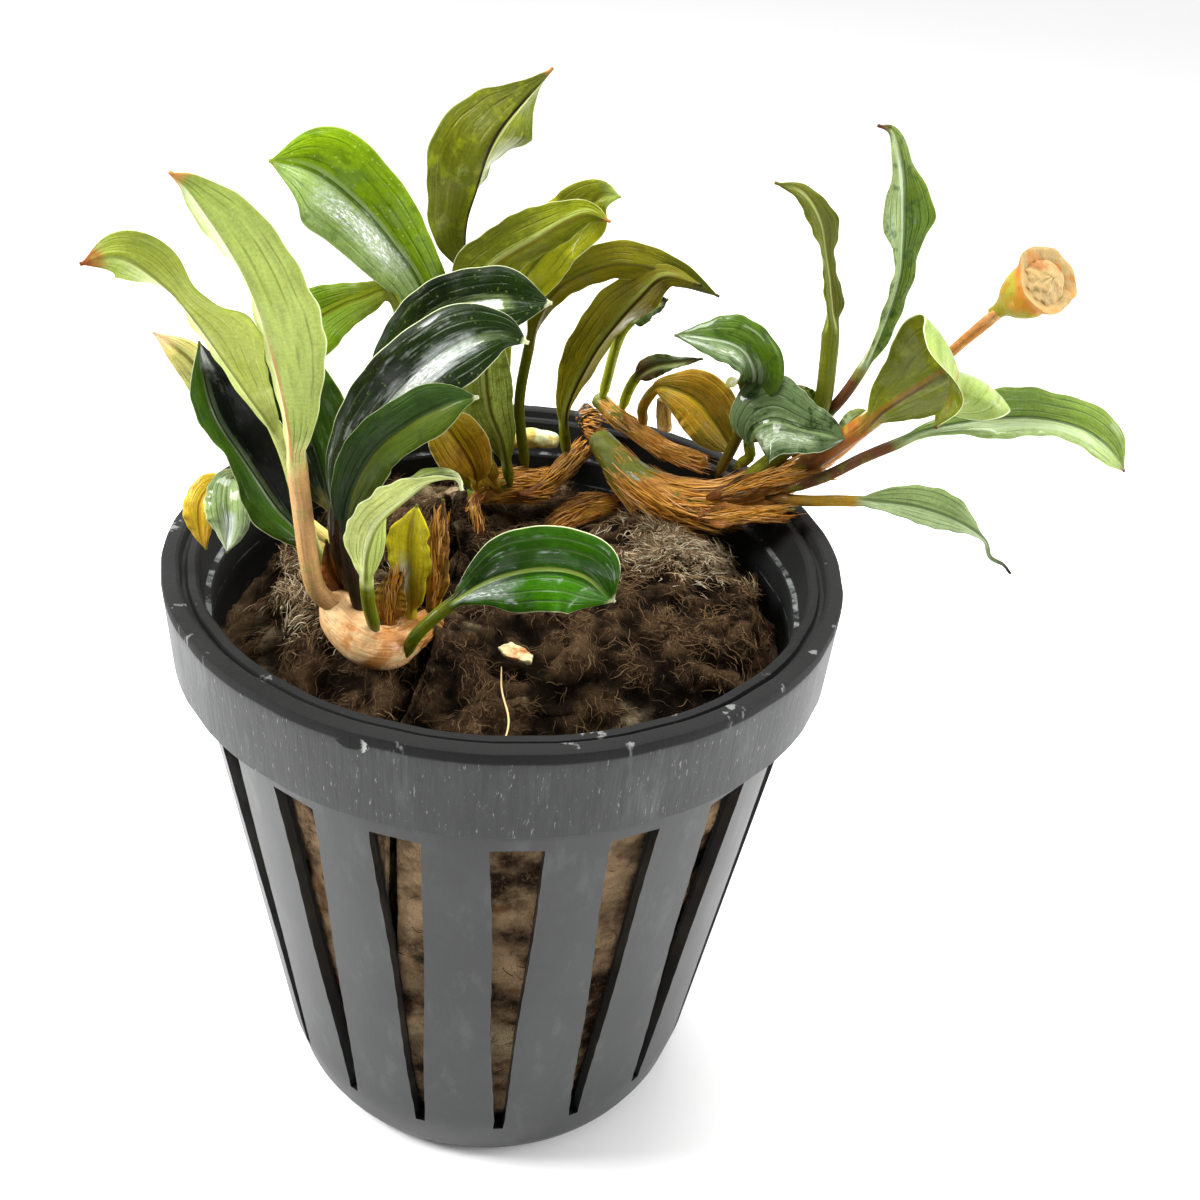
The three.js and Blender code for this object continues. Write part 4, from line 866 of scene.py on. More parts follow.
def leaf_finish(name, leaf):
    """A leaf's skin: a stalk colour, three colours from foot to tip on each face, and one for each half,
    which on some leaves is painted light and shade.

    `along` is -1 at the stalk's foot, 0 at the blade's foot and 1 at its tip, `run` and `reach` are
    millimetres. Veins and streaks run lengthwise, keep their share of the width and so meet at the tip. A
    crease with a line of another colour beside it is the midrib. The margin is a thin line. Blotches,
    specks, a dry tip, patches of painted glint and a painted sheen, a reflection with a painted white
    highlight on one strip of the blade, whole or in flecks, finish it.
    """
    finish = Finish(name + "_skin", Specular_IOR_Level=0.12, Coat_Roughness=0.06, Coat_IOR=1.33)
    across, along, upper = finish.layer("across"), finish.layer("along"), finish.layer("upper")
    reach, run = finish.layer("reach"), finish.layer("run")
    seed = leaf["seed"]
    edge = finish.math("ABSOLUTE", across)
    leaf_place = finish.vector(reach, run, seed)
    flow = finish.vector(across * 1.4, run * 0.07, seed)

    def tone(colors):
        foot, middle, tip = (COLORS[color] for color in colors)
        stem = COLORS[leaf["stem"]]
        stalk = (0.0, COLORS[leaf["root"]]), (0.2, stem), (0.46, stem)
        way = (along + 1.0) * 0.5 + (finish.noise(leaf_place, 0.5, 2) - 0.5) * 0.12
        return finish.ramp(way, *stalk, (0.56, foot), (0.76, middle), (0.97, tip))

    top = finish.mask(upper, -0.04, 0.04)
    color = finish.mix(top, tone(leaf["under"]), tone(leaf["upper"]))
    blade = finish.mask(along, 0.0, 0.06)

    cloud = finish.noise(leaf_place, 0.28, 3, 0.6)
    left_half = 1.0 - finish.mask(across, -0.05, 0.02)
    right_half = finish.mask(across, -0.02, 0.05)
    # On some leaves each half's colour is painted light and shade: a lit half, a shaded half or a painted
    # sheen.
    for half, (half_tint_and_shade, share) in ((left_half, leaf["left"]), (right_half, leaf["right"])):
        patch = finish.mask(cloud * 1.2 - finish.math("ABSOLUTE", along - 0.55) * 0.35, 0.18, 0.4)
        color = finish.mix(half * patch * blade * share, color, COLORS[half_tint_and_shade])

    mottle = finish.noise(leaf_place, 0.9, 4, 0.6)
    grain = finish.noise(leaf_place, 5.0, 3, 0.65)
    streak = finish.noise(flow, 4.5, 4, 0.65)
    color = finish.mix(finish.mask(mottle, 0.5, 0.66) * leaf["blotch_share"], color, COLORS[leaf["blotch"]])
    shade = finish.ramp(streak, (0.3, (0.62, 0.64, 0.6, 1)), (0.7, (1.2, 1.2, 1.16, 1)))
    color = finish.mix(leaf["streak_share"], color, shade, "MULTIPLY")
    speckle = finish.ramp(grain, (0.36, (0.72, 0.74, 0.7, 1)), (0.66, (1.18, 1.18, 1.12, 1)))
    color = finish.mix(leaf["grain_share"], color, speckle, "MULTIPLY")

    phase = edge * leaf["vein_count"] + finish.noise(flow, 1.6, 2) * 0.7
    vein = (finish.math("SINE", phase * FULL_TURN) * 0.5 + 0.5) ** 12.0
    fading = finish.mask(finish.noise(leaf_place, 0.35, 2), 0.36, 0.6)
    vein = vein * fading * finish.mask(edge, 0.1, 0.25) * (1.0 - finish.mask(edge, 0.82, 0.93)) * blade
    color = finish.mix(vein * leaf["vein_share"], color, COLORS[leaf["vein"]])

    fresh = blade * (1.0 - finish.mask(along, 0.8, 0.98))
    crease = finish.near(reach, 0.06, 0.2) * blade
    crease = crease * (1.0 - finish.mask(along, leaf["rib_end"], leaf["rib_end"] + 0.18))
    glow = finish.near(reach - leaf["glow_side"] * 0.3, 0.07, 0.2) * fresh
    color = finish.mix(glow * leaf["glow_share"], color, COLORS[leaf["glow"]])
    color = finish.mix(crease * leaf["rib_share"], color, COLORS[leaf["rib"]])

    # Painted glint: patches of painted highlight, as of light on a wet film, in their own colour.
    painted_glint = finish.noise(finish.vector(across * 2.3, run * 0.16, seed + 5.0), 2.6, 4, 0.62)
    inner = 1.0 - finish.mask(edge, 0.8, 0.92)
    painted_glint = finish.mask(painted_glint + (mottle - 0.5) * 0.2, 0.56, 0.66) * finish.mask(cloud, 0.46, 0.58) * blade
    painted_glint = painted_glint * inner
    color = finish.mix(painted_glint * leaf["painted_glint_share"] * (0.25 + top * 0.75), color, COLORS[leaf["painted_glint"]])
    # Painted sheen: a reflection painted along one strip of the blade, whitened at its middle by a painted
    # highlight.
    side, start, end, share = leaf["painted_sheen"]
    near = finish.near(across - side + (streak - 0.5) * 0.9, 0.05, 0.4)
    stretch = along + (mottle - 0.5) * 0.25
    flecks = finish.noise(finish.vector(across * 5.0, run * 0.6, seed), 4.0, 4, 0.7)
    flecks = finish.mask(flecks, 0.44, 0.58)
    near = near * (1.0 - (1.0 - flecks) * leaf["fleck"])
    near = near * finish.mask(stretch, start, start + 0.14) * (1.0 - finish.mask(stretch, end - 0.14, end))
    painted_highlight = finish.mix(finish.mask(near, 0.8, 1.0) * leaf["painted_highlight"], COLORS[leaf["painted_glint"]], COLORS["white"])
    color = finish.mix(near * share, color, painted_highlight)
    spots = 1.0 - finish.mask(finish.cells(finish.place(), 2600.0), 0.1, 0.26)
    spotted = finish.mask(finish.noise(leaf_place, 0.8, 3), 0.46, 0.6) * blade
    color = finish.mix(spots * spotted * leaf["spot_share"], color, COLORS[leaf["spot"]])
    margin = finish.mask(edge, 0.965, 0.992) * blade
    color = finish.mix(margin * leaf["margin_share"], color, COLORS[leaf["margin"]])
    tip = finish.mask(along + (mottle - 0.5) * 0.08, 1 - leaf["tip_share"], 1 - leaf["tip_share"] / 3)
    color = finish.mix(tip, color, COLORS[leaf["tip"]])

    height = streak * 0.9 + mottle * 0.6 + grain * 0.12 - vein * 0.4 - crease * top * 0.7
    wet = finish.mask(finish.noise(leaf_place, 0.45, 2), 0.36, 0.58)
    finish.feed(
        Base_Color=color,
        Roughness=leaf["roughness"] + mottle * 0.12 + (1.0 - inner) * 0.3 + tip * 0.3,
        Coat_Weight=wet * inner * leaf["wet"],
        Normal=finish.bump(height, leaf["relief"]),
    )
    return finish.material


COLORS = {
    "cream": paint(222, 190, 138),
    "pale_cream": paint(214, 220, 172),
    "straw": paint(202, 182, 104),
    "orange_tan": paint(194, 132, 70),
    "rust": paint(150, 86, 30),
    "brown": paint(92, 56, 26),
    "dark_brown": paint(44, 28, 15),
    "ochre": paint(160, 120, 26),
    "gold": paint(192, 164, 34),
    "yellow": paint(184, 182, 20),
    "yellow_green": paint(150, 160, 24),
    "lime": paint(124, 156, 12),
    "leaf_green": paint(88, 116, 12),
    "grass": paint(52, 84, 4),
    "moss": paint(100, 106, 16),
    "olive": paint(116, 108, 20),
    "dark_olive": paint(82, 74, 16),
    "forest": paint(26, 46, 4),
    "night": paint(12, 22, 3),
    "pale_green": paint(198, 208, 126),
    "soft_green": paint(150, 168, 76),
    "grey_green": paint(138, 158, 100),
    "silver_green": paint(172, 188, 150),
    "slate_green": paint(92, 110, 70),
    "silver": paint(196, 202, 198),
    "vivid_green": paint(56, 112, 2),
    "peach": paint(212, 162, 108),
    "fibre": paint(188, 136, 52),
    "bright_yellow": paint(222, 206, 34),
    "flesh": paint(165, 139, 88),
    "amber": paint(178, 112, 30),
    "gold_olive": paint(142, 132, 26),
    "wool_dun": paint(122, 98, 68),
    "wool_brown": paint(92, 70, 46),
    "wool_tan": paint(156, 132, 98),
    "wool_pale": paint(206, 198, 172),
    "white": paint(246, 248, 246),
    "black": paint(9, 9, 7),
}

# How far apart in its noise two leaves are
NOISE_STRETCH = 7.3

# The skin that leaves share. A leaf's own entry below can change any of these values. `left` and `right`
# are a colour and its share on each half, on some leaves painted light and shade. The sheen is a painted
# reflection: where across the blade it lies, from where to where along the blade, and how strong it is;
# its painted highlight is how white its middle grows. The glint colour and share paint patches of glint.
SKIN_DEFAULTS = dict(
    stem="straw", upper=("moss", "leaf_green", "leaf_green"),
    under=("soft_green", "pale_green", "soft_green"), left=("moss", 0.0), right=("moss", 0.0),
    blotch="leaf_green", blotch_share=0.3, streak_share=0.7, grain_share=0.5, vein="moss", vein_share=0.35,
    vein_count=4.0, rib="dark_olive", rib_share=0.7, glow="pale_green", glow_share=0.35, glow_side=1.0,
    painted_glint="silver_green", painted_glint_share=0.15, spot="dark_olive", spot_share=0.15, margin="pale_cream",
    margin_share=0.7, rib_end=0.8, painted_sheen=(0.0, 0.3, 0.7, 0.0), painted_highlight=1.0, fleck=0.0, tip="moss",
    tip_share=0.03, roughness=0.34, wet=0.3, relief=0.12,
)

# What every dry sheath has in common
DRY = dict(
    streak_share=1.0, grain_share=0.9, rib_share=0.0, glow_share=0.0, vein="straw", vein_share=0.5,
    painted_glint_share=0.0, margin="straw", margin_share=0.4, wet=0.15, relief=0.3, spot_share=0.3,
)

SKINS = {
    "leaf_left_tall": dict(
        stem="peach", under=("pale_green", "pale_green", "soft_green"), left=("soft_green", 0.75),
        right=("pale_cream", 0.2), blotch="soft_green", rib="orange_tan", rib_share=0.8, rib_end=0.35,
        glow="pale_cream", glow_share=0.8, vein_share=0.6, painted_glint="pale_cream", painted_sheen=(0.35, 0.05, 0.85, 0.5),
        painted_highlight=0.0, tip="orange_tan", tip_share=0.05,
    ),
    "leaf_left_arching": dict(
        stem="pale_green", under=("pale_green", "pale_green", "soft_green"), left=("yellow_green", 0.55),
        right=("soft_green", 0.2), blotch="yellow_green", rib="moss", rib_share=0.8, vein="soft_green",
        tip="rust", tip_share=0.08, margin="soft_green",
    ),
    "leaf_left_dark_broad": dict(
        stem="dark_brown", upper=("forest", "night", "night"), under=("grass", "lime", "pale_green"),
        # Painted light and shade: the left half is lit grass, the right half shaded black.
        left=("grass", 0.8), right=("black", 0.95), blotch="night", spot="slate_green", vein="night",
        rib="slate_green", rib_share=0.6, glow="slate_green", painted_glint="silver", painted_glint_share=0.1,
        painted_sheen=(0.2, 0.82, 1.2, 0.7), roughness=0.3,
    ),
    "leaf_left_hidden": dict(
        upper=("pale_green", "pale_green", "straw"), spot="rust", spot_share=0.6, tip="cream",
        tip_share=0.16,
    ),
    "leaf_left_short_grey": dict(
        upper=("slate_green", "grey_green", "silver_green"), blotch="slate_green", blotch_share=0.5,
        painted_glint="silver", painted_glint_share=0.5, rib_share=0.1, glow_share=0.1, wet=0.9, painted_sheen=(0.0, 0.5, 1.2, 0.8),
    ),
    "leaf_left_short_yellow": dict(
        upper=("gold", "gold", "ochre"), under=("gold", "ochre", "ochre"), blotch="orange_tan",
        blotch_share=0.5, painted_glint="cream", painted_glint_share=0.3, rib="ochre", vein="ochre", glow="gold",
        margin="gold", spot="rust", spot_share=0.5,
    ),
    "leaf_left_dark_back": dict(
        upper=("night", "night", "forest"), blotch="forest", spot="slate_green", vein="forest",
        rib="forest", glow="forest", margin="soft_green", right=("grass", 0.6), painted_glint_share=0.08,
        roughness=0.26,
    ),
    "leaf_left_glossy": dict(
        stem="dark_brown", upper=("forest", "night", "forest"), under=("grass", "moss", "moss"),
        blotch="black", vein="slate_green", vein_share=0.3, rib="grey_green", rib_share=0.35,
        glow="grey_green", glow_share=0.3, spot="soft_green", spot_share=0.3, painted_glint="silver",
        painted_glint_share=0.25, painted_sheen=(0.1, 0.3, 0.86, 0.9), fleck=0.25, wet=1.0, roughness=0.16, relief=0.08,
        tip="pale_cream",
    ),
    "leaf_left_glossy_back": dict(
        stem="brown", upper=("forest", "night", "forest"), blotch="black", vein="forest", rib="forest",
        glow="forest", spot="soft_green", spot_share=0.3, painted_glint="grey_green", painted_glint_share=0.3,
        painted_sheen=(0.1, 0.4, 0.9, 0.7), wet=1.0, roughness=0.18, relief=0.08, tip="pale_cream",
    ),
    "leaf_left_green_inner": dict(
        stem="dark_brown", upper=("forest", "grass", "grass"), left=("forest", 0.5), right=("moss", 0.35),
        blotch="forest", blotch_share=0.4, vein="forest", rib="forest", glow="moss", painted_glint_share=0.0,
        roughness=0.42, wet=0.2, tip="pale_cream", margin_share=0.4,
    ),
    "leaf_left_small_curled": dict(
        stem="moss", under=("pale_green", "pale_green", "pale_green"), upper=("forest", "night", "forest"),
        left=("soft_green", 0.6), rib="moss", vein_share=0.5, glow="pale_cream", tip="pale_cream",
        tip_share=0.1, blotch="soft_green", painted_glint="silver", painted_glint_share=0.5, wet=0.8,
    ),
    "leaf_front_glossy": dict(
        stem="moss", upper=("forest", "vivid_green", "vivid_green"), under=("pale_green", "lime", "lime"),
        left=("forest", 0.45), right=("vivid_green", 0.6), blotch="vivid_green", blotch_share=0.5,
        vein="slate_green", vein_share=0.5, rib="soft_green", rib_share=0.8, glow="night", glow_share=0.6,
        margin_share=1.0, painted_glint="silver", painted_glint_share=0.7, painted_sheen=(0.35, 0.0, 0.45, 0.75), fleck=0.6,
        tip="pale_cream", tip_share=0.05, wet=1.0, roughness=0.16, relief=0.08,
    ),
    "leaf_centre_bright": dict(
        # The grey-green left half is a painted sheen.
        stem="soft_green", upper=("leaf_green", "lime", "lime"), left=("grey_green", 0.7),
        right=("lime", 0.7), blotch="grass", blotch_share=0.4, spot="pale_green", spot_share=0.5,
        rib="grass", rib_share=0.8, glow="grey_green", glow_share=0.7, vein="grass", painted_glint="silver",
        painted_sheen=(-0.3, 0.3, 0.85, 0.75), fleck=0.85, tip="yellow_green", wet=0.6, roughness=0.26,
    ),
    "leaf_centre_low_yellow": dict(
        stem="yellow_green", upper=("moss", "leaf_green", "lime"), blotch="moss", rib="moss",
        glow="yellow_green", painted_glint_share=0.03, tip="gold",
    ),
    "leaf_centre_tall": dict(
        stem="moss", under=("moss", "moss", "moss"), upper=("grass", "leaf_green", "leaf_green"),
        blotch="yellow_green", blotch_share=0.5, left=("soft_green", 0.25), rib="dark_brown", rib_share=1.0,
        glow_share=0.9, glow_side=-1.0, vein="olive", painted_glint_share=0.5, tip="orange_tan", tip_share=0.05,
        margin="soft_green", margin_share=0.4,
    ),
    "leaf_centre_mid": dict(
        stem="moss", under=("moss", "moss", "yellow_green"), left=("moss", 0.8), blotch="yellow_green",
        rib="olive", rib_share=0.9, vein_share=0.5, painted_glint="soft_green", tip="orange_tan", tip_share=0.06,
    ),
    "leaf_centre_yellow_back": dict(
        stem="yellow_green", upper=("yellow", "yellow", "moss"), blotch="yellow_green", blotch_share=0.6,
        vein="yellow_green", rib="moss", glow="yellow", painted_glint_share=0.08, tip="soft_green", tip_share=0.1,
    ),
    "leaf_centre_arch_back": dict(
        stem="moss", under=("olive", "gold_olive", "moss"), upper=("grass", "leaf_green", "grass"),
        blotch="moss", vein="dark_olive", glow="moss", painted_glint_share=0.05, margin="pale_green",
        margin_share=0.9, tip="brown",
    ),
    "leaf_centre_arch_front": dict(
        stem="moss", under=("gold_olive", "gold_olive", "olive"), upper=("grass", "slate_green", "grass"),
        left=("olive", 0.4), right=("gold_olive", 0.5), blotch="moss", rib="dark_brown", rib_share=0.9,
        glow="soft_green", glow_share=0.5, vein="dark_olive", painted_glint="silver", painted_glint_share=0.04,
        margin="soft_green", margin_share=0.5, tip="dark_brown",
    ),
    "leaf_centre_upright": dict(
        stem="moss", under=("moss", "soft_green", "soft_green"), rib_share=0.9, blotch="moss",
        blotch_share=0.7, vein="dark_olive", vein_share=0.5, grain_share=0.9, painted_glint_share=0.05,
    ),
    "leaf_centre_old_yellow": dict(
        stem="ochre", upper=("ochre", "ochre", "gold"), under=("olive", "ochre", "gold"), rib="brown",
        vein="olive", blotch="brown", blotch_share=0.4, glow="gold", painted_glint_share=0.05,
    ),
    "leaf_back_hanging": dict(
        stem="yellow_green", upper=("grass", "slate_green", "night"), blotch="dark_olive",
    ),
    "leaf_back_narrow": dict(
        stem="yellow_green", upper=("brown", "slate_green", "night"), blotch="dark_brown",
    ),
    "leaf_right_drooping": dict(
        stem="dark_olive", upper=("forest", "grass", "slate_green"), under=("moss", "gold", "dark_brown"),
        left=("slate_green", 0.5), right=("leaf_green", 0.5), blotch="forest", blotch_share=0.6,
        vein="grass", rib="silver_green", rib_share=0.6, glow="grass", painted_glint_share=0.35,
        painted_sheen=(-0.5, 0.42, 0.8, 0.6), painted_highlight=0.5, fleck=0.5, margin="slate_green", margin_share=0.3, wet=1.0,
        roughness=0.2,
    ),
    "leaf_right_heart": dict(
        stem="moss", upper=("slate_green", "slate_green", "slate_green"), left=("slate_green", 0.6),
        right=("forest", 0.5), blotch="forest", blotch_share=0.9, spot="silver_green", vein="forest",
        rib="forest", rib_share=0.4, glow="grey_green", painted_glint_share=0.3, painted_sheen=(0.5, 0.1, 0.8, 0.5),
        painted_highlight=0.4, fleck=0.5, margin="silver_green", margin_share=1.0, wet=1.0, roughness=0.18,
    ),
    "leaf_right_old_yellow": dict(
        stem="ochre", upper=("ochre", "ochre", "olive"), under=("ochre", "ochre", "olive"), blotch="olive",
        blotch_share=0.6, rib="olive", vein="gold", glow="gold", painted_glint="straw", painted_glint_share=0.2, spot="brown",
        spot_share=0.4,
    ),
    "leaf_right_twisted": dict(
        stem="moss", upper=("moss", "moss", "moss"), under=("moss", "moss", "moss"), blotch="olive",
        rib="pale_green", rib_share=0.6, glow="olive", vein="soft_green", margin="soft_green",
        margin_share=0.9, tip="olive", tip_share=0.05,
    ),
    "leaf_right_upright": dict(
        stem="brown", upper=("soft_green", "leaf_green", "soft_green"), blotch="grass", blotch_share=0.8,
        left=("silver_green", 0.4), right=("leaf_green", 0.6), rib="slate_green", glow="silver_green",
        glow_share=0.8, glow_side=-1.0, vein="grass", vein_share=0.5, painted_glint_share=0.3, tip="brown",
        tip_share=0.05,
    ),
    "leaf_right_folded": dict(
        root="brown", stem="rust", upper=("grey_green", "grey_green", "soft_green"),
        under=("moss", "moss", "moss"), blotch="yellow_green", rib="brown", rib_share=0.9, rib_end=0.35,
        glow="rust", glow_share=0.5, margin_share=0.9, tip="brown", wet=0.5,
    ),
    "leaf_right_long": dict(
        stem="brown", upper=("grey_green", "grey_green", "soft_green"), left=("leaf_green", 0.6),
        right=("grey_green", 0.5), blotch_share=0.4, rib="slate_green", rib_share=0.9, vein="slate_green",
        vein_share=0.5, glow="silver_green", painted_glint_share=0.2, painted_sheen=(0.45, 0.2, 0.9, 0.5), painted_highlight=0.1,
        tip="brown", margin_share=0.4, wet=0.6,
    ),
    "leaf_right_low": dict(
        root="brown", stem="ochre", upper=("grey_green", "grey_green", "silver_green"),
        left=("grey_green", 0.5), right=("silver_green", 0.4), blotch="slate_green", rib="slate_green",
        rib_share=0.9, vein="slate_green", vein_share=0.5, glow="silver_green", tip="dark_brown",
        tip_share=0.14, margin="slate_green", margin_share=0.8,
    ),
    "leaf_right_fragment": dict(
        stem="brown", upper=("slate_green", "grey_green", "moss"), blotch="dark_olive",
    ),
    "sheath_left_brown": dict(
        stem="brown", upper=("brown", "rust", "dark_brown"), under=("brown", "brown", "dark_brown"),
        blotch="rust", **DRY,
    ),
    "sheath_left_torn": dict(
        stem="rust", upper=("rust", "ochre", "brown"), under=("rust", "rust", "brown"), blotch="dark_brown",
        **DRY,
    ),
    "sheath_left_inner": dict(
        stem="brown", upper=("ochre", "orange_tan", "brown"), under=("brown", "brown", "brown"),
        blotch="dark_brown", blotch_share=0.7, **DRY,
    ),
    "sheath_left_yellow": dict(
        stem="gold", upper=("gold", "bright_yellow", "bright_yellow"),
        under=("gold", "bright_yellow", "bright_yellow"), blotch="gold", blotch_share=0.35,
        painted_sheen=(-0.3, 0.1, 0.6, 0.7), rib="ochre", rib_share=0.3, vein="ochre", glow="yellow",
        margin="yellow", painted_glint="pale_cream", painted_glint_share=0.4, wet=0.9,
    ),
    "sheath_centre_yellow": dict(
        stem="ochre", upper=("ochre", "gold", "yellow"), under=("gold", "ochre", "yellow"), blotch="brown",
        blotch_share=0.5, **DRY,
    ),
    "sheath_right_low": dict(
        stem="rust", upper=("rust", "orange_tan", "straw"), under=("rust", "rust", "brown"), blotch="brown",
        blotch_share=0.7, **DRY,
    ),
    "sheath_right_fibrous": dict(
        stem="rust", upper=("brown", "rust", "orange_tan"), under=("rust", "brown", "brown"),
        blotch="dark_brown", blotch_share=0.7, **DRY,
    ),
    "bract_right": dict(
        stem="moss", upper=("moss", "leaf_green", "brown"), under=("moss", "moss", "brown"), blotch="brown",
    ),
}


def build_leaves():
    """Sheaths and leaves, each in its own stretch of noise. Without a root colour a stalk is one colour."""
    sheaths = {name: {**SHEATH_DEFAULTS, **sheath} for name, sheath in SHEATHS.items()}
    for number, (name, leaf) in enumerate({**sheaths, **LEAVES}.items()):
        places, layers = leaf_surface(leaf, FOOT_SINKS.get(name, (0, 0, 0)))
        skin = {**SKIN_DEFAULTS, **SKINS[name], "seed": NOISE_STRETCH * number}
        skin.setdefault("root", skin["stem"])
        make_skin(name, places, layers, leaf_finish(name, skin))


# Stems, roots and stalks

# A stem's colours: its base, streaks, patches and the painted shade of its hollows. Patches gather towards
# the old end where patch_slope is below 0.
STEM_SKINS = {
    "broken": dict(base="dark_brown", streak="brown", patch="black", hollow="black", relief=0.25),
    "cream": dict(
        base="peach", streak="cream", patch="orange_tan", hollow="brown", relief=0.05, patch_slope=-0.5,
    ),
    "stem": dict(
        base="fibre", streak="rust", patch="moss", hollow="dark_brown", relief=0.1, patch_slope=-0.4,
    ),
    "root": dict(base="brown", streak="rust", patch="ochre", hollow="dark_brown", relief=0.12),
    "yellow": dict(base="straw", streak="gold", patch="pale_cream", hollow="brown", relief=0.06),
    "sheath": dict(base="straw", streak="rust", patch="cream", hollow="brown", relief=0.1),
    "flower": dict(base="orange_tan", streak="amber", patch="peach", hollow="brown", relief=0.03),
}


def stem_frame(stem, route, shares):
    """The centre, the tangent and the two directions across it, at shares of a stem's route."""
    centre = route.at(shares)
    tangent = route.tangent(shares)
    up = np.array(stem.get("up", (0.1, 0.2, 1)), float)
    up = unit(up - tangent * (tangent @ up)[..., None])
    return centre, tangent, up, np.cross(tangent, up)


def stem_surface(stem, skin):
    """A tube round the stem's route with rounded ends, its rows closer together there.

    Its radius has slow knobs, streaks along it and fine grain, and `flat` squashes it between its upper and
    lower side.
    """
    route = Route(stem["route"])
    length = route.length
    even = np.linspace(0, 1, int(max(40, length * 11)))
    s = (1 - np.cos(math.pi * even)) / 2 * 0.35 + even * 0.65
    centre, _, up, side = stem_frame(stem, route, s)
    s = s[:, None]
    angle = FULL_TURN * np.arange(STEM_COLUMNS) / STEM_COLUMNS
    knobs = 1 + stem.get("knobs", 0) * np.sin(3 * angle + 7 * s) * np.sin(11 * s + angle)
    radius = straight_curve(stem["radii"], s) * knobs
    end = np.minimum(s, 1 - s) * length / (0.55 * radius)
    radius = radius * np.sqrt(np.maximum(1 - (1 - np.minimum(end, 1)) ** 2, 0.001))
    run = s * length
    cosine, sine = np.cos(angle), np.sin(angle)
    streak_place = np.stack(np.broadcast_arrays(2.2 * cosine, 2.2 * sine, run * 0.25), -1)
    grain_place = centre[:, None] + radius[..., None] * np.stack([cosine, sine, 0 * angle], -1)
    relief = noise(streak_place, 0.35) * 0.6 + noise(streak_place, 0.16) * 0.4
    relief = relief + noise(grain_place, 0.9) * 0.7
    radius = radius + skin["relief"] * relief * np.minimum(end, 1)
    places = centre[:, None] + side[:, None] * (radius * cosine)[..., None]
    places = places + up[:, None] * (radius * stem.get("flat", 1) * sine)[..., None]
    whole = np.broadcast_arrays(run, angle, relief, s)
    return places, dict(zip(("run", "around", "relief", "share"), whole))


def stem_finish(name, skin):
    """A stem's skin: streaks along it, patches of another colour, painted shade in its hollows and fine
    grain.
    """
    finish = Finish(name + "_skin", Specular_IOR_Level=0.2, Coat_Roughness=0.15)
    place = finish.place()
    run, around, relief = finish.layer("run"), finish.layer("around"), finish.layer("relief")
    share = finish.layer("share")
    round_x, round_y = finish.math("COSINE", around), finish.math("SINE", around)
    streak = finish.noise(finish.vector(round_x * 1.5, round_y * 1.5, run * 0.12), 5.0, 5, 0.65)
    patch = finish.noise(place, 420.0, 4, 0.6)
    grain = finish.noise(place, 2600.0, 3, 0.6)
    color = finish.mix(finish.mask(streak, 0.42, 0.62), COLORS[skin["base"]], COLORS[skin["streak"]])
    patched = finish.mask(patch + (share - 0.5) * skin.get("patch_slope", 0), 0.5, 0.62)
    color = finish.mix(patched, color, COLORS[skin["patch"]])
    # Painted shade: the hollows of the relief take the hollow colour.
    color = finish.mix((1.0 - finish.mask(relief, -0.75, -0.1)) * 0.8, color, COLORS[skin["hollow"]])
    color = finish.mix(0.6, color, finish.grey_ramp(grain, 0.3, 0.6, 0.7, 1.2), "MULTIPLY")
    finish.feed(
        Base_Color=color,
        Roughness=0.42 + grain * 0.25,
        Coat_Weight=patched * 0.3,
        Normal=finish.bump(streak * 0.7 + grain * 0.4, 0.12),
    )
    return finish.material


def build_stems():
    for name, stem in STEMS.items():
        skin = STEM_SKINS[stem["finish"]]
        places, layers = stem_surface(stem, skin)
        make_skin(name, places, layers, stem_finish(name, skin))


# Fibres: many short strands in one mesh

def strands(starts, directions, normals, lengths, radii, lift, wander, rng, sections=7, sides=4, flat=1.0):
    """Tapering strands, each a row of small rings, and a number from 0 to 1 for each strand.

    A strand runs from its start along its direction, bows off the surface along its normal by `lift`
    times a part of a half wave, and wanders sideways by a slow wave of its own. Its radius is full in its
    middle and falls towards its ends, and `flat` squashes it against the surface.
    """
    count = len(starts)
    t = np.linspace(0, 1, sections)
    across = unit(np.cross(directions, normals))
    phase = rng.uniform(0, FULL_TURN, (count, 1))
    sway = wander * lengths[:, None] * np.sin(2.2 * math.pi * t + phase) * t
    rise = lift * lengths[:, None] * np.sin(math.pi * t * rng.uniform(0.45, 1, (count, 1)))
    centre = starts[:, None] + directions[:, None] * (lengths[:, None] * t)[..., None]
    centre = centre + across[:, None] * sway[..., None] + normals[:, None] * rise[..., None]
    tangent = unit(np.gradient(centre, axis=1))
    up = unit(normals[:, None] - tangent * (tangent * normals[:, None]).sum(-1, keepdims=True))
    side = np.cross(tangent, up)
    radius = radii[:, None] * np.maximum(0.1, np.sin(math.pi * np.clip(t * 0.92 + 0.04, 0, 1)) ** 0.5)
    angle = FULL_TURN * np.arange(sides) / sides
    ring = side[:, :, None] * np.cos(angle)[:, None] + up[:, :, None] * (flat * np.sin(angle))[:, None]
    places = centre[:, :, None] + ring * radius[..., None, None]
    one = tube_faces(sections, sides)
    quads = np.array(one[:-2])
    caps = np.array(one[-2:])
    step = np.arange(count)[:, None, None] * sections * sides
    faces = (quads + step).reshape(-1, 4).tolist() + (caps + step).reshape(-1, sides).tolist()
    tone = np.broadcast_to(rng.uniform(0, 1, count)[:, None, None], places.shape[:3])
    return places.reshape(-1, 3), faces, dict(tone=tone)


def fibre_finish(name, colors, roughness):
    """A fibre's colour is one of three by its own number."""
    finish = Finish(name + "_skin", Specular_IOR_Level=0.1)
    dark, middle, pale = (COLORS[color] for color in colors)
    tone = finish.layer("tone")
    color = finish.ramp(tone, (0.0, dark), (0.55, middle), (1.0, pale))
    grain = finish.noise(finish.place(), 3000.0, 2)
    finish.feed(Base_Color=color, Roughness=roughness + grain * 0.1)
    return finish.material


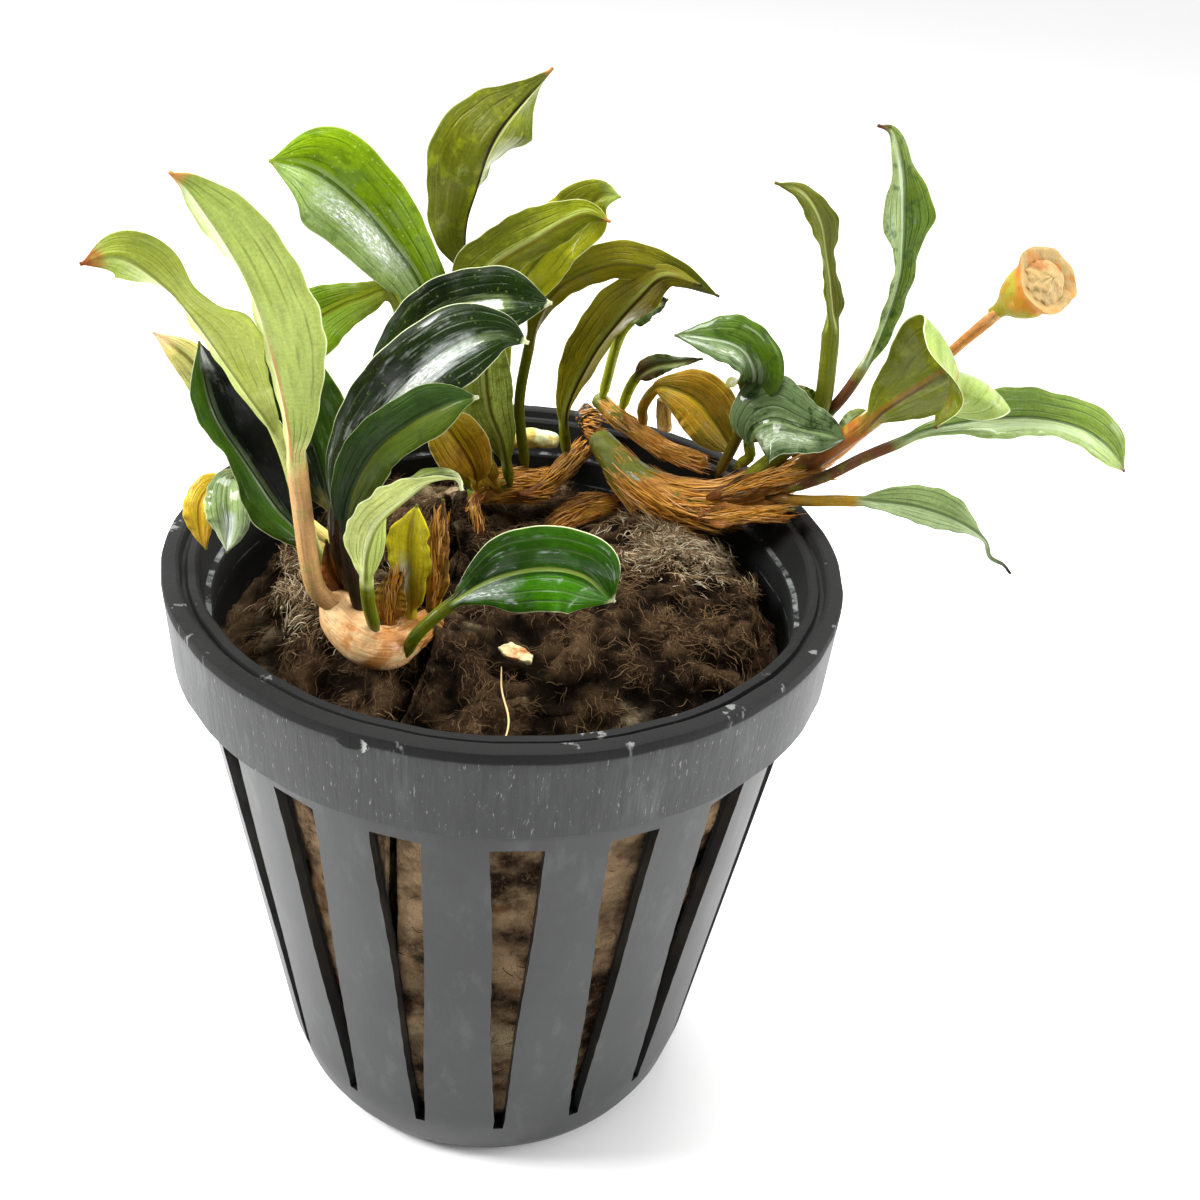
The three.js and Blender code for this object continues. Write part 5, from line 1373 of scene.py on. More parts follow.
# How many shreds of old sheath lie on a stem or a sheath, how long and thick they are, and on which part
# of it. Most of those of a `low` one lie on its underside and towards its young end.
SHREDS = {
    "rhizome_right_lower": dict(count=1200, length=4.2, radius=0.06, lift=0.02, span=(0.12, 0.93), low=True),
    "rhizome_right_upper": dict(count=260, length=2.4, radius=0.05, lift=0.03, span=(0.05, 0.9)),
    "rhizome_centre": dict(count=500, length=1.8, radius=0.05, lift=0.08, span=(0.05, 0.95)),
    "rhizome_link": dict(count=380, length=1.8, radius=0.05, lift=0.08, span=(0.05, 0.95)),
    "broken_stem_end": dict(count=260, length=0.9, radius=0.045, lift=0.2, span=(0.1, 0.9)),
    "rhizome_left": dict(count=160, length=1.2, radius=0.035, lift=0.12, span=(0.0, 0.3)),
    "root_flat": dict(count=420, length=1.6, radius=0.035, lift=0.08, span=(0.0, 0.95)),
    "root_centre": dict(count=120, length=1.2, radius=0.03, lift=0.12, span=(0.0, 0.9)),
    "sheath_right_low": dict(
        count=420, length=2.6, radius=0.04, lift=0.06,
        span=(0.0, 0.7), radii=(0.35, 0.5, 0.3),
    ),
    "sheath_right_fibrous": dict(
        count=420, length=2.8, radius=0.04, lift=0.06,
        span=(0.0, 0.7), radii=(0.35, 0.5, 0.3),
    ),
    "sheath_left_torn": dict(
        count=160, length=1.3, radius=0.035, lift=0.1,
        span=(0.0, 0.8), radii=(0.4, 0.5, 0.4),
    ),
    "sheath_left_inner": dict(
        count=160, length=1.6, radius=0.035, lift=0.08,
        span=(0.0, 0.8), radii=(0.4, 0.5, 0.4),
    ),
}


def build_sheath_fibres():
    """Shreds of old sheath that lie along the stems, pointing to the young end."""
    rng = np.random.default_rng(SHRED_SEED)
    for name, fibres in SHREDS.items():
        stem = {**STEMS, **SHEATHS}[name]
        count = fibres["count"]
        shares = rng.uniform(*fibres["span"], count)
        angle = rng.uniform(0, FULL_TURN, count)
        if fibres.get("low"):
            angle = rng.normal(-1.2, 1.2, count)
            shares = fibres["span"][0] + np.ptp(fibres["span"]) * rng.uniform(size=count) ** 0.6
        centre, tangent, up, side = stem_frame(stem, Route(stem["route"]), shares)
        outwards = side * np.cos(angle)[:, None] + up * np.sin(angle)[:, None]
        radii = {**fibres, **stem}["radii"]
        radius = straight_curve(radii, shares) * rng.uniform(0.94, 1.1, count)
        starts = side * np.cos(angle)[:, None] + up * (stem.get("flat", 1) * np.sin(angle))[:, None]
        starts = centre + starts * radius[:, None]
        around = np.cross(tangent, outwards)
        directions = unit(tangent + around * rng.normal(0, 0.09, count)[:, None])
        lengths = fibres["length"] * rng.uniform(0.4, 1.3, count)
        thickness = fibres["radius"] * rng.uniform(0.5, 1.8, count)
        places, faces, layers = strands(
            starts, directions, outwards, lengths, thickness, fibres["lift"], 0.03, rng, flat=0.25,
        )
        material = fibre_finish(name + "_shreds", ("amber", "fibre", "peach"), 0.5)
        make_piece(name + "_shreds", places, faces, material, layers=layers)


# Pot

def body_radius(z):
    """The pot's body tapers evenly from the band down to the base."""
    return BODY_BOTTOM_RADIUS + (BODY_TOP_RADIUS - BODY_BOTTOM_RADIUS) * z / (POT_HEIGHT - BAND_HEIGHT)


def rounded_rows():
    """The pot's profile as rows of (radius, z), and the numbers of the rows that its slots cut.

    It runs from the middle of the underside out and up, over the rim and down to the middle of the floor.
    """
    band_bottom = POT_HEIGHT - BAND_HEIGHT
    inner_top = BODY_TOP_RADIUS - WALL + 0.3
    solid_base = [0.05, 3, 5.5]
    base_rows = [*solid_base, *np.linspace(DRAIN_SLOT_INNER, DRAIN_SLOT_OUTER, 8)]
    slot_rows = np.linspace(SLOT_BOTTOM, SLOT_TOP, 30)
    corner = BODY_BOTTOM_RADIUS
    underside = [(radius, 0) for radius in base_rows]
    heel = [
        (corner - 3, 0), (corner - 1.9, 0.12), (corner - 1.1, 0.5), (corner - 0.45, 1.1),
        (corner - 0.05, 2.0),
    ]
    wall = [(body_radius(z), z) for z in slot_rows]
    shoulder = [(body_radius(z), z) for z in (41.4, 42.5)]
    band = [
        (BODY_TOP_RADIUS + 0.02, band_bottom - 0.1), (BODY_TOP_RADIUS + 0.2, band_bottom),
        (BAND_BOTTOM_RADIUS - 0.15, band_bottom), (BAND_BOTTOM_RADIUS, band_bottom + 0.15),
        *[(BAND_BOTTOM_RADIUS + 0.2 * up, band_bottom + 0.15 + 6.55 * up) for up in (0.2, 0.4, 0.6, 0.8)],
        (RIM_RADIUS, POT_HEIGHT - 0.3), (RIM_RADIUS - 0.08, POT_HEIGHT - 0.08),
        (RIM_RADIUS - 0.3, POT_HEIGHT),
        (RIM_RADIUS - 1.0, POT_HEIGHT), (RIM_RADIUS - 1.2, POT_HEIGHT - 0.12),
        (RIM_RADIUS - 1.35, POT_HEIGHT - 0.75), (RIM_RADIUS - 1.65, POT_HEIGHT - 0.8),
        (RIM_RADIUS - 1.8, POT_HEIGHT - 0.45), (inner_top + 0.2, POT_HEIGHT - 0.4),
        (inner_top, POT_HEIGHT - 0.6), (inner_top - 0.1, POT_HEIGHT - 3),
        (inner_top - 0.25, POT_HEIGHT - 3.3), (inner_top - 0.62, POT_HEIGHT - 3.4),
        (inner_top - 0.72, POT_HEIGHT - 3.6),
    ]
    lining = [(radius - WALL, z) for radius, z in reversed(wall + shoulder)]
    floor_corner = [
        (body_radius(3.4) - WALL - 0.1, 3.4), (corner - WALL - 1.1, 2.1),
        (corner - WALL - 2.2, BASE_THICKNESS),
    ]
    floor = [(radius, BASE_THICKNESS) for radius in reversed(base_rows)]
    rows = underside + heel + wall + shoulder + band + lining + floor_corner + floor
    drain_out = np.arange(len(solid_base), len(base_rows))
    slot_out = np.arange(len(slot_rows)) + len(underside + heel)
    slot_in = len(underside + heel + wall + shoulder + band + shoulder) + np.arange(len(slot_rows))[::-1]
    drain_in = len(rows) - 1 - drain_out
    return np.array(rows), drain_out, drain_in, slot_out, slot_in


def pot_surface():
    """The pot as one closed skin: its profile turned about Z, with columns along the edges of the slots.

    At each row the two columns beside a slot stand half the slot's width off its middle, and the columns
    of the rib share what is left of the turn. The slots' edges waver a little. The faces inside a slot
    are left out, and its sides join the outer skin to the lining, row by row.
    """
    rows, drain_out, drain_in, slot_out, slot_in = rounded_rows()
    radius, z = rows[:, 0], rows[:, 1]
    share = np.clip((z - SLOT_BOTTOM) / (SLOT_TOP - SLOT_BOTTOM), 0, 1)
    half = (SLOT_BOTTOM_WIDTH + (SLOT_TOP_WIDTH - SLOT_BOTTOM_WIDTH) * share) / 2
    on_base = (z <= BASE_THICKNESS + 0.01) & (radius <= DRAIN_SLOT_OUTER + 0.01)
    half = np.where(on_base, DRAIN_SLOT_WIDTH / 2, half)
    half_angle = np.minimum(np.arcsin(np.minimum(half / np.maximum(radius, 2.0), 0.9)), 0.14)
    slot = np.arange(SLOT_COUNT)[:, None]
    uneven = 0.09 * np.sin(2.3 * slot + 0.25 * z) + 0.035 * np.sin(5.1 * slot + 2.1 * z)
    uneven = np.where(on_base, 0, uneven * (share > 0)) / np.maximum(radius, 5)
    pitch = FULL_TURN / SLOT_COUNT
    middle = math.radians(FIRST_SLOT_ANGLE - 90) + pitch * slot
    left = middle - half_angle + uneven
    right = middle + half_angle + 0.7 * uneven
    rib = np.arange(1, RIB_COLUMNS) / RIB_COLUMNS
    next_left = np.roll(left, -1, axis=0) + np.where(slot == SLOT_COUNT - 1, FULL_TURN, 0)
    ribs = right[..., None] + (next_left - right)[..., None] * rib
    columns = np.concatenate([left[..., None], right[..., None], ribs], -1)
    angle = columns.transpose(1, 0, 2).reshape(len(rows), -1)
    around = radius[:, None] * np.cos(angle), radius[:, None] * np.sin(angle)
    places = np.stack([*around, np.broadcast_to(z[:, None], angle.shape)], -1)

    count = angle.shape[1]
    per_slot = RIB_COLUMNS + 1
    row, column = np.meshgrid(np.arange(len(rows) - 1), np.arange(count), indexing="ij")
    in_slot = column % per_slot == 0
    slot_rows = np.concatenate([slot_out[:-1], slot_in[1:]])
    drain_rows = np.concatenate([drain_out[:-1], drain_in[1:]])
    drained = (column // per_slot) % SLOTS_PER_DRAIN == 1
    open_face = in_slot & (np.isin(row, slot_rows) | (np.isin(row, drain_rows) & drained))
    corner = row * count + column
    beside = row * count + (column + 1) % count
    skin = np.stack([corner, beside, beside + count, corner + count], -1)[~open_face]

    def slot_sides(outer, inner, lefts):
        """The two sides and the two ends of each slot, from the outer rows to the inner rows."""
        rights = lefts + 1
        a, b = outer[:-1, None] * count, outer[1:, None] * count
        c, d = inner[1:, None] * count, inner[:-1, None] * count
        faces = [
            np.stack([a + lefts, b + lefts, c + lefts, d + lefts], -1).reshape(-1, 4),
            np.stack([d + rights, c + rights, b + rights, a + rights], -1).reshape(-1, 4),
        ]
        for end, order in ((0, 1), (-1, -1)):
            out, back = outer[end] * count, inner[end] * count
            faces.append(np.stack([out + lefts, back + lefts, back + rights, out + rights][::order], -1))
        return np.concatenate(faces)

    slot_lefts = np.arange(SLOT_COUNT) * per_slot
    drain_lefts = slot_lefts[1::SLOTS_PER_DRAIN]
    slots = slot_sides(slot_out, slot_in, slot_lefts)
    drains = slot_sides(drain_out, drain_in, drain_lefts)
    ends = [list(range(count))[::-1], list(range((len(rows) - 1) * count, len(rows) * count))]
    return places, np.concatenate([skin, slots, drains]).tolist() + ends


def pot_finish():
    """Black moulded plastic worn grey: cloudy and smooth on the body, with upright scratches on its band.

    Painted shade makes it black inside, and it is black on the rim's top, with two pale rings inside and
    painted highlights in flecks along the rim's top. A nick in the rim is not cut: it is a painted dark mark
    for its shade, with a pale crescent at its right. Heights and radii here are metres, as a material reads
    them.
    """
    finish = Finish("worn_plastic", Specular_IOR_Level=0.34)
    place = finish.place()
    x, y, z = finish.axes(place)
    radius = finish.math("SQRT", x * x + y * y)
    on_band = finish.mask(z, 0.0428, 0.0432)
    streak = finish.noise(finish.stretch(place, (1, 1, 0.09)), 2600.0, 4, 0.7)
    scratch = finish.noise(finish.stretch(place, (1, 1, 0.2)), 5200.0, 3, 0.7)
    cloud = finish.noise(place, 90.0, 5, 0.6)
    smear = finish.noise(finish.stretch(place, (1, 1, 0.35)), 420.0, 4, 0.65)
    grain = finish.noise(place, 6200.0, 2, 0.6)
    color = finish.mix(finish.mask(cloud, 0.35, 0.68), paint(27, 28, 28), paint(41, 42, 42))
    color = finish.mix(finish.mask(smear, 0.54, 0.7) * 0.3, color, paint(80, 82, 82))
    color = finish.mix(finish.mask(smear, 0.48, 0.32) * 0.4, color, paint(24, 25, 25))
    lines = finish.grey_ramp(streak, 0.32, 0.62, 0.68, 1.4)
    color = finish.mix(on_band * 0.75 + 0.12, color, lines, "MULTIPLY")
    color = finish.mix(finish.mask(scratch, 0.62, 0.72) * on_band * 0.35, color, paint(176, 178, 176))
    # Painted shade: near black inside the pot and on its lining. The rim's top is black too.
    inside = (1.0 - finish.mask(radius, 0.0229, 0.0232)) * finish.mask(z, 0.0411, 0.0418)
    lining = (1.0 - finish.mask(radius - z * 0.139, 0.01655, 0.0167)) * finish.mask(z, 0.002, 0.003)
    lip = finish.mask(z, 0.04905, 0.0493)
    dark = finish.math("MAXIMUM", finish.math("MAXIMUM", inside, lining), lip)
    color = finish.mix(dark, color, paint(9, 9, 9))
    # Painted highlights: pale flecks along the rim's top.
    color = finish.mix(lip * finish.mask(smear, 0.63, 0.68) * 0.45, color, paint(150, 152, 150))
    # The nick is not cut into the rim: a painted dark mark stands for its shade, with a pale crescent beside
    # it.
    nick_x, nick_y, nick_z = (value * MM for value in NICK_PLACE)
    nick = (x - nick_x) ** 2.0 + (y - nick_y) ** 2.0 * 0.6 + (z - nick_z) ** 2.0 * 3.0
    nick = finish.math("SQRT", nick) + (grain - 0.5) * 0.0006 + (smear - 0.5) * 0.0012
    nicked = (1.0 - finish.mask(nick, 0.0007, 0.0009)) * on_band
    color = finish.mix(nicked, color, paint(7, 7, 7))
    beside_nick = (1.0 - finish.mask(nick, 0.0011, 0.0012)) * finish.mask(x, -0.0084, -0.0081)
    color = finish.mix(beside_nick * (1.0 - nicked) * on_band * 0.7, color, paint(188, 190, 188))
    for height, strength in ((0.04665, 0.5), (0.0441, 0.4)):
        ring = finish.near(z - height, 0.00003, 0.0001) * inside * finish.mask(smear, 0.45, 0.6)
        color = finish.mix(ring * strength, color, paint(160, 164, 164))
    finish.feed(
        Base_Color=color,
        Roughness=0.3 + cloud * 0.2 + on_band * 0.06 + finish.math("MAXIMUM", dark, nicked) * 0.4,
        Normal=finish.bump(streak * on_band * 0.9 + smear * 0.6 + grain * 0.12, 0.06),
    )
    return finish.material


def build_pot():
    places, faces = pot_surface()
    make_piece("net_pot", places, faces, pot_finish(), ["pot"], sharp_angle=28)


# Wool

# The wool's outline, as radii and shares of its height from the bottom
WOOL_PROFILE = [
    (0, 0), (15.4, 0), (16.7, 0.03), (18.7, 0.36), (20.7, 0.7), (21.5, 0.82), (21.7, 0.89), (20.9, 0.94),
    (20.0, 0.98), (17.5, 0.99), (12, 1), (6, 1), (0, 1),
]

# Mounds and, with a height below 0, hollows in the wool's top: height, x, y, and the spread along x and
# along y
MOUNDS = [
    (1.0, 10, 1, 60, 60), (0.5, -13, 0, 40, 40), (2.2, -9, -9, 30, 30), (1.2, 13, 10, 25, 25),
    (-1.6, 3, 13, 30, 30), (-5.0, 9, -18.5, 90, 26),
]


def wool_lift(x, y):
    """How high the wool's top stands over its level: waves, mounds, hollows and a slope in front."""
    lift = 0.5 * np.sin(0.42 * x + 0.8) * np.cos(0.37 * y) + 0.35 * np.sin(0.71 * x - 0.55 * y)
    for height, middle_x, middle_y, spread_x, spread_y in MOUNDS:
        lift = lift + height * np.exp(-((x - middle_x) ** 2 / spread_x + (y - middle_y) ** 2 / spread_y))
    return lift - 1.4 * np.clip((-y - 6) / 14, 0, 1)


def crevice_x(y):
    """Where the crevice between the two lumps runs, as its x at each y."""
    return -5.3 + 0.07 * y + 0.7 * np.sin(0.45 * y)


def wool_surface(side):
    """One lump of the wool, left (-1) or right (1) of the crevice, its relief, normals and height shares.

    The plug's profile turns about Z, its columns closer together on the lump's own side. Clumps and
    creases push it in and out along its normals. Whatever lies across the crevice is then brought back to
    the crevice's wall, and whatever lies outside the pot's lining is brought back to that.
    """
    profile = np.array(WOOL_PROFILE, float)
    height = WOOL_TOP - WOOL_BOTTOM
    strides = np.hypot(np.diff(profile[:, 0]), height * np.diff(profile[:, 1]))
    steps = np.concatenate([[0], np.cumsum(strides)])
    t = np.linspace(0, 1, WOOL_ROWS) ** 0.8 * steps[-1]
    radius = np.maximum(np.interp(t, steps, profile[:, 0]), 0.02)[:, None]
    share = np.interp(t, steps, profile[:, 1])[:, None]
    turn = FULL_TURN * np.arange(WOOL_COLUMNS) / WOOL_COLUMNS
    middle = 0 if side > 0 else math.pi
    angle = turn - 0.55 * np.sin(turn - middle)
    bulge = 0.3 * (1 + np.sin(5 * angle + 9 * share)) * (radius > 14)
    drawn_in = 2.4 * np.exp(-((angle - 3.3) / 0.5) ** 2) * np.clip((share - 0.9) / 0.06, 0, 1) * radius / 20
    over_slots = np.clip((share - 0.9) / 0.05, 0, 1)
    narrowed = 0.6 * np.cos(angle) ** 2 * share * over_slots
    kept = np.maximum(radius - narrowed - bulge * (0.2 + 0.8 * over_slots) - drawn_in, 0.02)
    x, y = kept * np.cos(angle), kept * np.sin(angle)
    top = np.clip((share - 0.9) / 0.07, 0, 1)
    z = WOOL_BOTTOM + share * height + wool_lift(x, y) * top
    places = np.stack([x, y, z], -1)
    normal = np.cross(np.gradient(places, axis=1), np.gradient(places, axis=0))
    normal = normal / np.maximum(np.linalg.norm(normal, axis=-1, keepdims=True), 1e-9)
    outwards = places - np.array([0, 0, 30])
    normal = normal * np.sign((normal * outwards).sum(-1, keepdims=True) + 1e-9)
    clumps = noise(places, 3.6) * 1.3 + noise(places + 40, 1.7) * 0.9
    crease = np.abs(noise(places + 80, 2.6)) ** 0.6
    tuft = noise(places + 120, 0.8) * 0.45 + noise(places + 160, 0.42) * 0.35
    relief = clumps * 0.6 + crease * 1.1 - 0.6 + tuft * 0.6
    places = places + normal * (relief * np.where(top > 0, 1.25, 0.35))[..., None]
    wall = crevice_x(places[..., 1]) + side * (CREVICE_WIDTH / 2 + 0.25 * np.abs(noise(places + 200, 1.3)))
    across = np.maximum(places[..., 0] * side, wall * side) * side
    away = places[..., 1]
    lining = body_radius(places[..., 2]) - WALL - 0.12
    widest = np.sqrt(np.maximum(lining ** 2 - across ** 2, 0.01))
    held = (share < 0.93) & (np.hypot(across, away) > lining)
    away = np.where(held, np.clip(away, -widest, widest), away)
    return np.stack([across, away, places[..., 2]], -1), relief, normal, np.broadcast_to(share, kept.shape)


def wool_finish():
    """Mineral wool: brown and matted with patches, with painted shade nearly black in its creases, and
    painted lighter tan low down behind the slots, where shade falls.
    """
    finish = Finish("mineral_wool", Specular_IOR_Level=0.05)
    place = finish.place()
    z = finish.axes(place)[2]
    relief = finish.layer("relief")
    mat_one = finish.noise(finish.stretch(place, (1, 0.3, 0.5)), 3600.0, 4, 0.72, 1.2)
    mat_two = finish.noise(finish.stretch(place, (0.3, 1, 0.5)), 3300.0, 4, 0.72, 1.2)
    cloud = finish.noise(place, 210.0, 4, 0.62)
    patch = finish.noise(place, 95.0, 3, 0.6)
    low = 1.0 - finish.mask(z, 0.038, 0.043)
    color = finish.mix(finish.mask(cloud, 0.36, 0.64), paint(42, 28, 16), paint(86, 66, 45))
    # Painted light: low down, behind the slots, the wool is painted a lighter tan against the shade there.
    color = finish.mix(low * finish.mask(cloud, 0.34, 0.6) * 0.85, color, paint(196, 164, 126))
    color = finish.mix(finish.mask(mat_one, 0.52, 0.68) * 0.55, color, paint(142, 118, 90))
    color = finish.mix(finish.mask(mat_two, 0.54, 0.7) * 0.45, color, paint(106, 80, 54))
    color = finish.mix(finish.mask(patch + cloud * 0.4, 0.78, 0.86) * 0.8, color, paint(176, 158, 124))
    rusty = finish.mask(finish.noise(place, 130.0, 3, 0.6), 0.62, 0.7)
    color = finish.mix(rusty * 0.6, color, paint(104, 58, 20))
    # Painted shade: near black in the creases, less so low down.
    color = finish.mix((1.0 - finish.mask(relief, -0.55, 0.1)) * (0.92 - low * 0.6), color, paint(9, 5, 2))
    finish.feed(Base_Color=color, Roughness=0.8 + cloud * 0.2, Normal=finish.bump(mat_one + mat_two, 0.35))
    return finish.material


def wool_fibres(name, places, normal, share, relief, rng, count, colors, radius, length, patch=None):
    """Loose strands on a lump of wool, lying along its surface every way, most of them on its raised tufts.

    A patch, a middle and a spread, gathers them round one place of the wool's top.
    """
    upright = np.ravel(share)
    flat_places, flat_normals = places.reshape(-1, 3), normal.reshape(-1, 3)
    free = np.abs(flat_places[:, 0] - crevice_x(flat_places[:, 1])) > 0.6
    free &= flat_places[:, 2] > 6
    raised = np.clip(np.ravel(relief) + 0.5, 0.08, 1.4)
    from_axis = np.maximum(np.hypot(*flat_places[:, :2].T), 0.5)
    weight = free * raised * np.where(upright > 0.93, 1.0, 0.12) * from_axis
    if patch is not None:
        weight = weight * np.exp(-(((flat_places - patch[0]) / patch[1]) ** 2).sum(-1)) * (upright > 0.93)
    chosen = rng.choice(len(flat_places), count, p=weight / weight.sum())
    starts, normals = flat_places[chosen], flat_normals[chosen]
    combed = np.stack([noise(starts + shift, 2.4) for shift in (0, 60, 120)], -1)
    directions = np.cross(normals, unit(unit(combed) + rng.normal(0, 0.45, (count, 3))))
    directions = unit(unit(directions) + normals * rng.uniform(-0.1, 0.35, (count, 1)))
    starts = starts - normals * 0.08
    lengths = length * rng.uniform(0.4, 1.5, count)
    reach = np.hypot(*(starts + directions * lengths[:, None])[:, :2].T)
    lengths = np.where(reach > 20.6, lengths * 0.4, lengths)
    radii = radius * rng.uniform(0.5, 1.5, count)
    made = strands(starts, directions, normals, lengths, radii, 0.16, 0.12, rng, 6, 3)
    strand_places, faces, layers = made
    make_piece(name, strand_places, faces, fibre_finish(name, colors, 0.7), layers=layers)


# Each lump's side of the crevice, how many brown fibres and pale ones lie on it, and the middle and the
# spread of the patch where the pale ones gather
LUMPS = {
    "wool_left": (-1, 4600, 900, ((-16.5, -2, 46.5), (3.2, 5.0, 3.0))),
    "wool_right": (1, 5900, 3600, ((15.5, 5.5, 48), (4.6, 2.6, 3.0))),
}
FIBRE_COLORS = ("dark_brown", "wool_brown", "wool_dun")
FUZZ_COLORS = ("wool_brown", "wool_tan", "wool_pale")


def build_wool():
    rng = np.random.default_rng(WOOL_SEED)
    for name, (side, count, fuzz_count, patch) in LUMPS.items():
        places, relief, normal, share = wool_surface(side)
        make_skin(name, places, dict(relief=relief), wool_finish())
        surface = places, normal, share, relief, rng
        wool_fibres(name + "_fibres", *surface, count, FIBRE_COLORS, 0.026, 1.25)
        wool_fibres(name + "_pale_fuzz", *surface, fuzz_count, FUZZ_COLORS, 0.028, 1.2, patch)


THREAD_START = (-0.2, -11.8, 46.9)
THREAD_WAY = (0.6, -6.5, -2.4)
THREAD_LENGTH = 7.0
THREAD_RADIUS = 0.07


def build_thread():
    """One loose pale thread that hangs down the front of the wool."""
    start, way, up = (np.array([row], float) for row in (THREAD_START, THREAD_WAY, (0, 0, 1)))
    length, radius = np.array([THREAD_LENGTH]), np.array([THREAD_RADIUS])
    rng = np.random.default_rng(THREAD_SEED)
    places, faces, layers = strands(start, unit(way), up, length, radius, 0.04, 0.06, rng, 24, 6)
    material = fibre_finish("wool_thread", ("peach", "cream", "cream"), 0.6)
    make_piece("wool_thread", places, faces, material, layers=layers)


# Flower and bark chip

# The flower's profiles are points of (radius, rise along its axis from its foot).
FLOWER_FOOT = np.array([36.5, 9.05, 67.2])
FLOWER_AXIS = unit(np.array([0.6, -0.35, 0.72]))
MOUTH_SIDE = unit(np.array([-0.3, -0.9, 0.2]))
CUP_PROFILE = [
    (0.02, -1.1), (0.5, -1.05), (0.66, -0.2), (1.5, 0.8), (1.95, 1.9), (2.05, 2.9), (2.6, 4.2), (2.45, 4.35),
    (2.15, 4.2), (1.5, 3.7), (1.2, 3.3), (0.02, 3.2),
]
SPADIX_PROFILE = [(0.02, 2.6), (1.2, 3), (1.75, 3.5), (1.6, 4.0), (0.8, 4.15), (0.02, 4.2)]


def turned_piece(profile, wobble, lumps, lump_size):
    """A profile turned about the flower's axis, with its rise and its share of the profile at each point.

    It wobbles more towards its far end, which droops on the side of the mouth, and small lumps stand on it.
    """
    shares = np.linspace(0, 1, FLOWER_ROWS)
    curve = smooth_curve(profile, shares)
    radius, rise = np.maximum(curve[:, :1], 0.015), curve[:, 1:]
    angle = FULL_TURN * np.arange(FLOWER_COLUMNS) / FLOWER_COLUMNS
    far = np.clip(rise / 4.4, 0, 1) ** 2
    swing = np.sin(3 * angle + 0.6) + 0.6 * np.sin(5 * angle + 2) + 0.3 * np.sin(9 * angle)
    radius = radius * (1 + wobble * far * swing)
    rise = rise + 1.2 * wobble * far * np.sin(2 * angle + 1) + 0.8 * wobble * far * np.sin(7 * angle)
    side = unit(np.cross(FLOWER_AXIS, (0, 0, 1)))
    other = np.cross(FLOWER_AXIS, side)
    low_side = side @ MOUTH_SIDE * np.cos(angle) + other @ MOUTH_SIDE * np.sin(angle)
    rise = rise - 0.9 * far * (0.5 + low_side) * np.minimum(radius / 1.5, 1.3)
    outwards = side * np.cos(angle)[:, None] + other * np.sin(angle)[:, None]
    places = FLOWER_FOOT + FLOWER_AXIS * rise[..., None] + outwards * radius[..., None]
    places = places + outwards * (lumps * noise(places, lump_size) * np.minimum(radius / 0.6, 1))[..., None]
    return places, dict(rise=rise, share=np.broadcast_to(shares[:, None], radius.shape))


def flower_finish(name, outside, face, marks):
    """Dried petal flesh: one colour outside, amber above it, and the face's colour on the lip and inside.

    Marks and faint cream streaks lie over it.
    """
    finish = Finish(name + "_skin", Specular_IOR_Level=0.2)
    place = finish.place()
    rise, share = finish.layer("rise"), finish.layer("share")
    cloud = finish.noise(place, 650.0, 4, 0.6)
    streak = finish.noise(finish.stretch(place, (1, 1, 0.3)), 1700.0, 4, 0.6, 0.4)
    color = finish.mix(finish.mask(rise + cloud * 1.6, 2.6, 3.3), COLORS[outside], COLORS["amber"])
    color = finish.mix(finish.mask(rise + cloud * 1.6, 3.9, 4.9), color, COLORS[face])
    color = finish.mix(finish.mask(share, 0.5, 0.6), color, COLORS[face])
    color = finish.mix(finish.mask(cloud, 0.5, 0.64) * 0.7, color, COLORS[marks])
    color = finish.mix(finish.mask(streak, 0.55, 0.7) * 0.25, color, COLORS["cream"])
    finish.feed(Base_Color=color, Roughness=0.45 + cloud * 0.3, Normal=finish.bump(streak + cloud, 0.15))
    return finish.material


def build_flower():
    for name, profile, wobble, lumps, size, colors, slot in (
        ("flower_cup", CUP_PROFILE, 0.07, 0.12, 0.8, ("gold_olive", "flesh", "amber"), "flower"),
        ("flower_spadix", SPADIX_PROFILE, 0.04, 0.42, 0.6, ("flesh", "flesh", "rust"), "sheath"),
    ):
        places, layers = turned_piece(profile, wobble, lumps, size)
        make_skin(name, places, layers, flower_finish(name, *colors))


CHIP_OUTLINE = [(-1.3, 0.5), (-0.8, -0.3), (0.1, -0.6), (1.1, -0.9), (1.2, -0.2), (0.5, 0.6), (-0.4, 1)]
CHIP_PLACE = (0.8, -9, 45.9)
CHIP_THICKNESS = 0.35
CHIP_TILT = 12


def build_chip():
    """A flake of bark: its outline shrinks to the middle of each face, and noise roughens both faces."""
    outline = np.array(CHIP_OUTLINE + CHIP_OUTLINE[:1], float)
    turns = np.linspace(0, 1, CHIP_COLUMNS, endpoint=False)
    edge = np.stack([straight_curve(outline[:, axis], turns) for axis in range(2)], -1)
    face = np.linspace(0.02, 0.92, CHIP_FACE_ROWS)
    share = np.concatenate([face, [0.98, 1, 1, 0.98], face[::-1]])
    edge_heights = [0.04, 0.12, 0.23, 0.31]
    upper = np.full(CHIP_FACE_ROWS, CHIP_THICKNESS)
    height = np.concatenate([np.zeros(CHIP_FACE_ROWS), edge_heights, upper])
    flat = edge * share[:, None, None]
    places = np.concatenate([flat, np.broadcast_to(height[:, None, None], flat.shape[:2] + (1,))], -1)
    rough = noise(places * (1, 2.5, 1) + 9, 0.5) * 0.16 + noise(places + 19, 0.25) * 0.07
    places[..., 2] += rough
    sine, cosine = math.sin(math.radians(CHIP_TILT)), math.cos(math.radians(CHIP_TILT))
    x, y, z = np.moveaxis(places, -1, 0)
    places = np.stack([x, y * cosine - z * sine, y * sine + z * cosine], -1) + CHIP_PLACE
    skin = dict(base="cream", streak="pale_cream", patch="orange_tan", hollow="brown")
    layers = dict(run=places[..., 0], around=places[..., 1], relief=rough * 3, share=0 * rough)
    make_skin("bark_chip", places, layers, stem_finish("bark_chip", skin))


# Floor and light

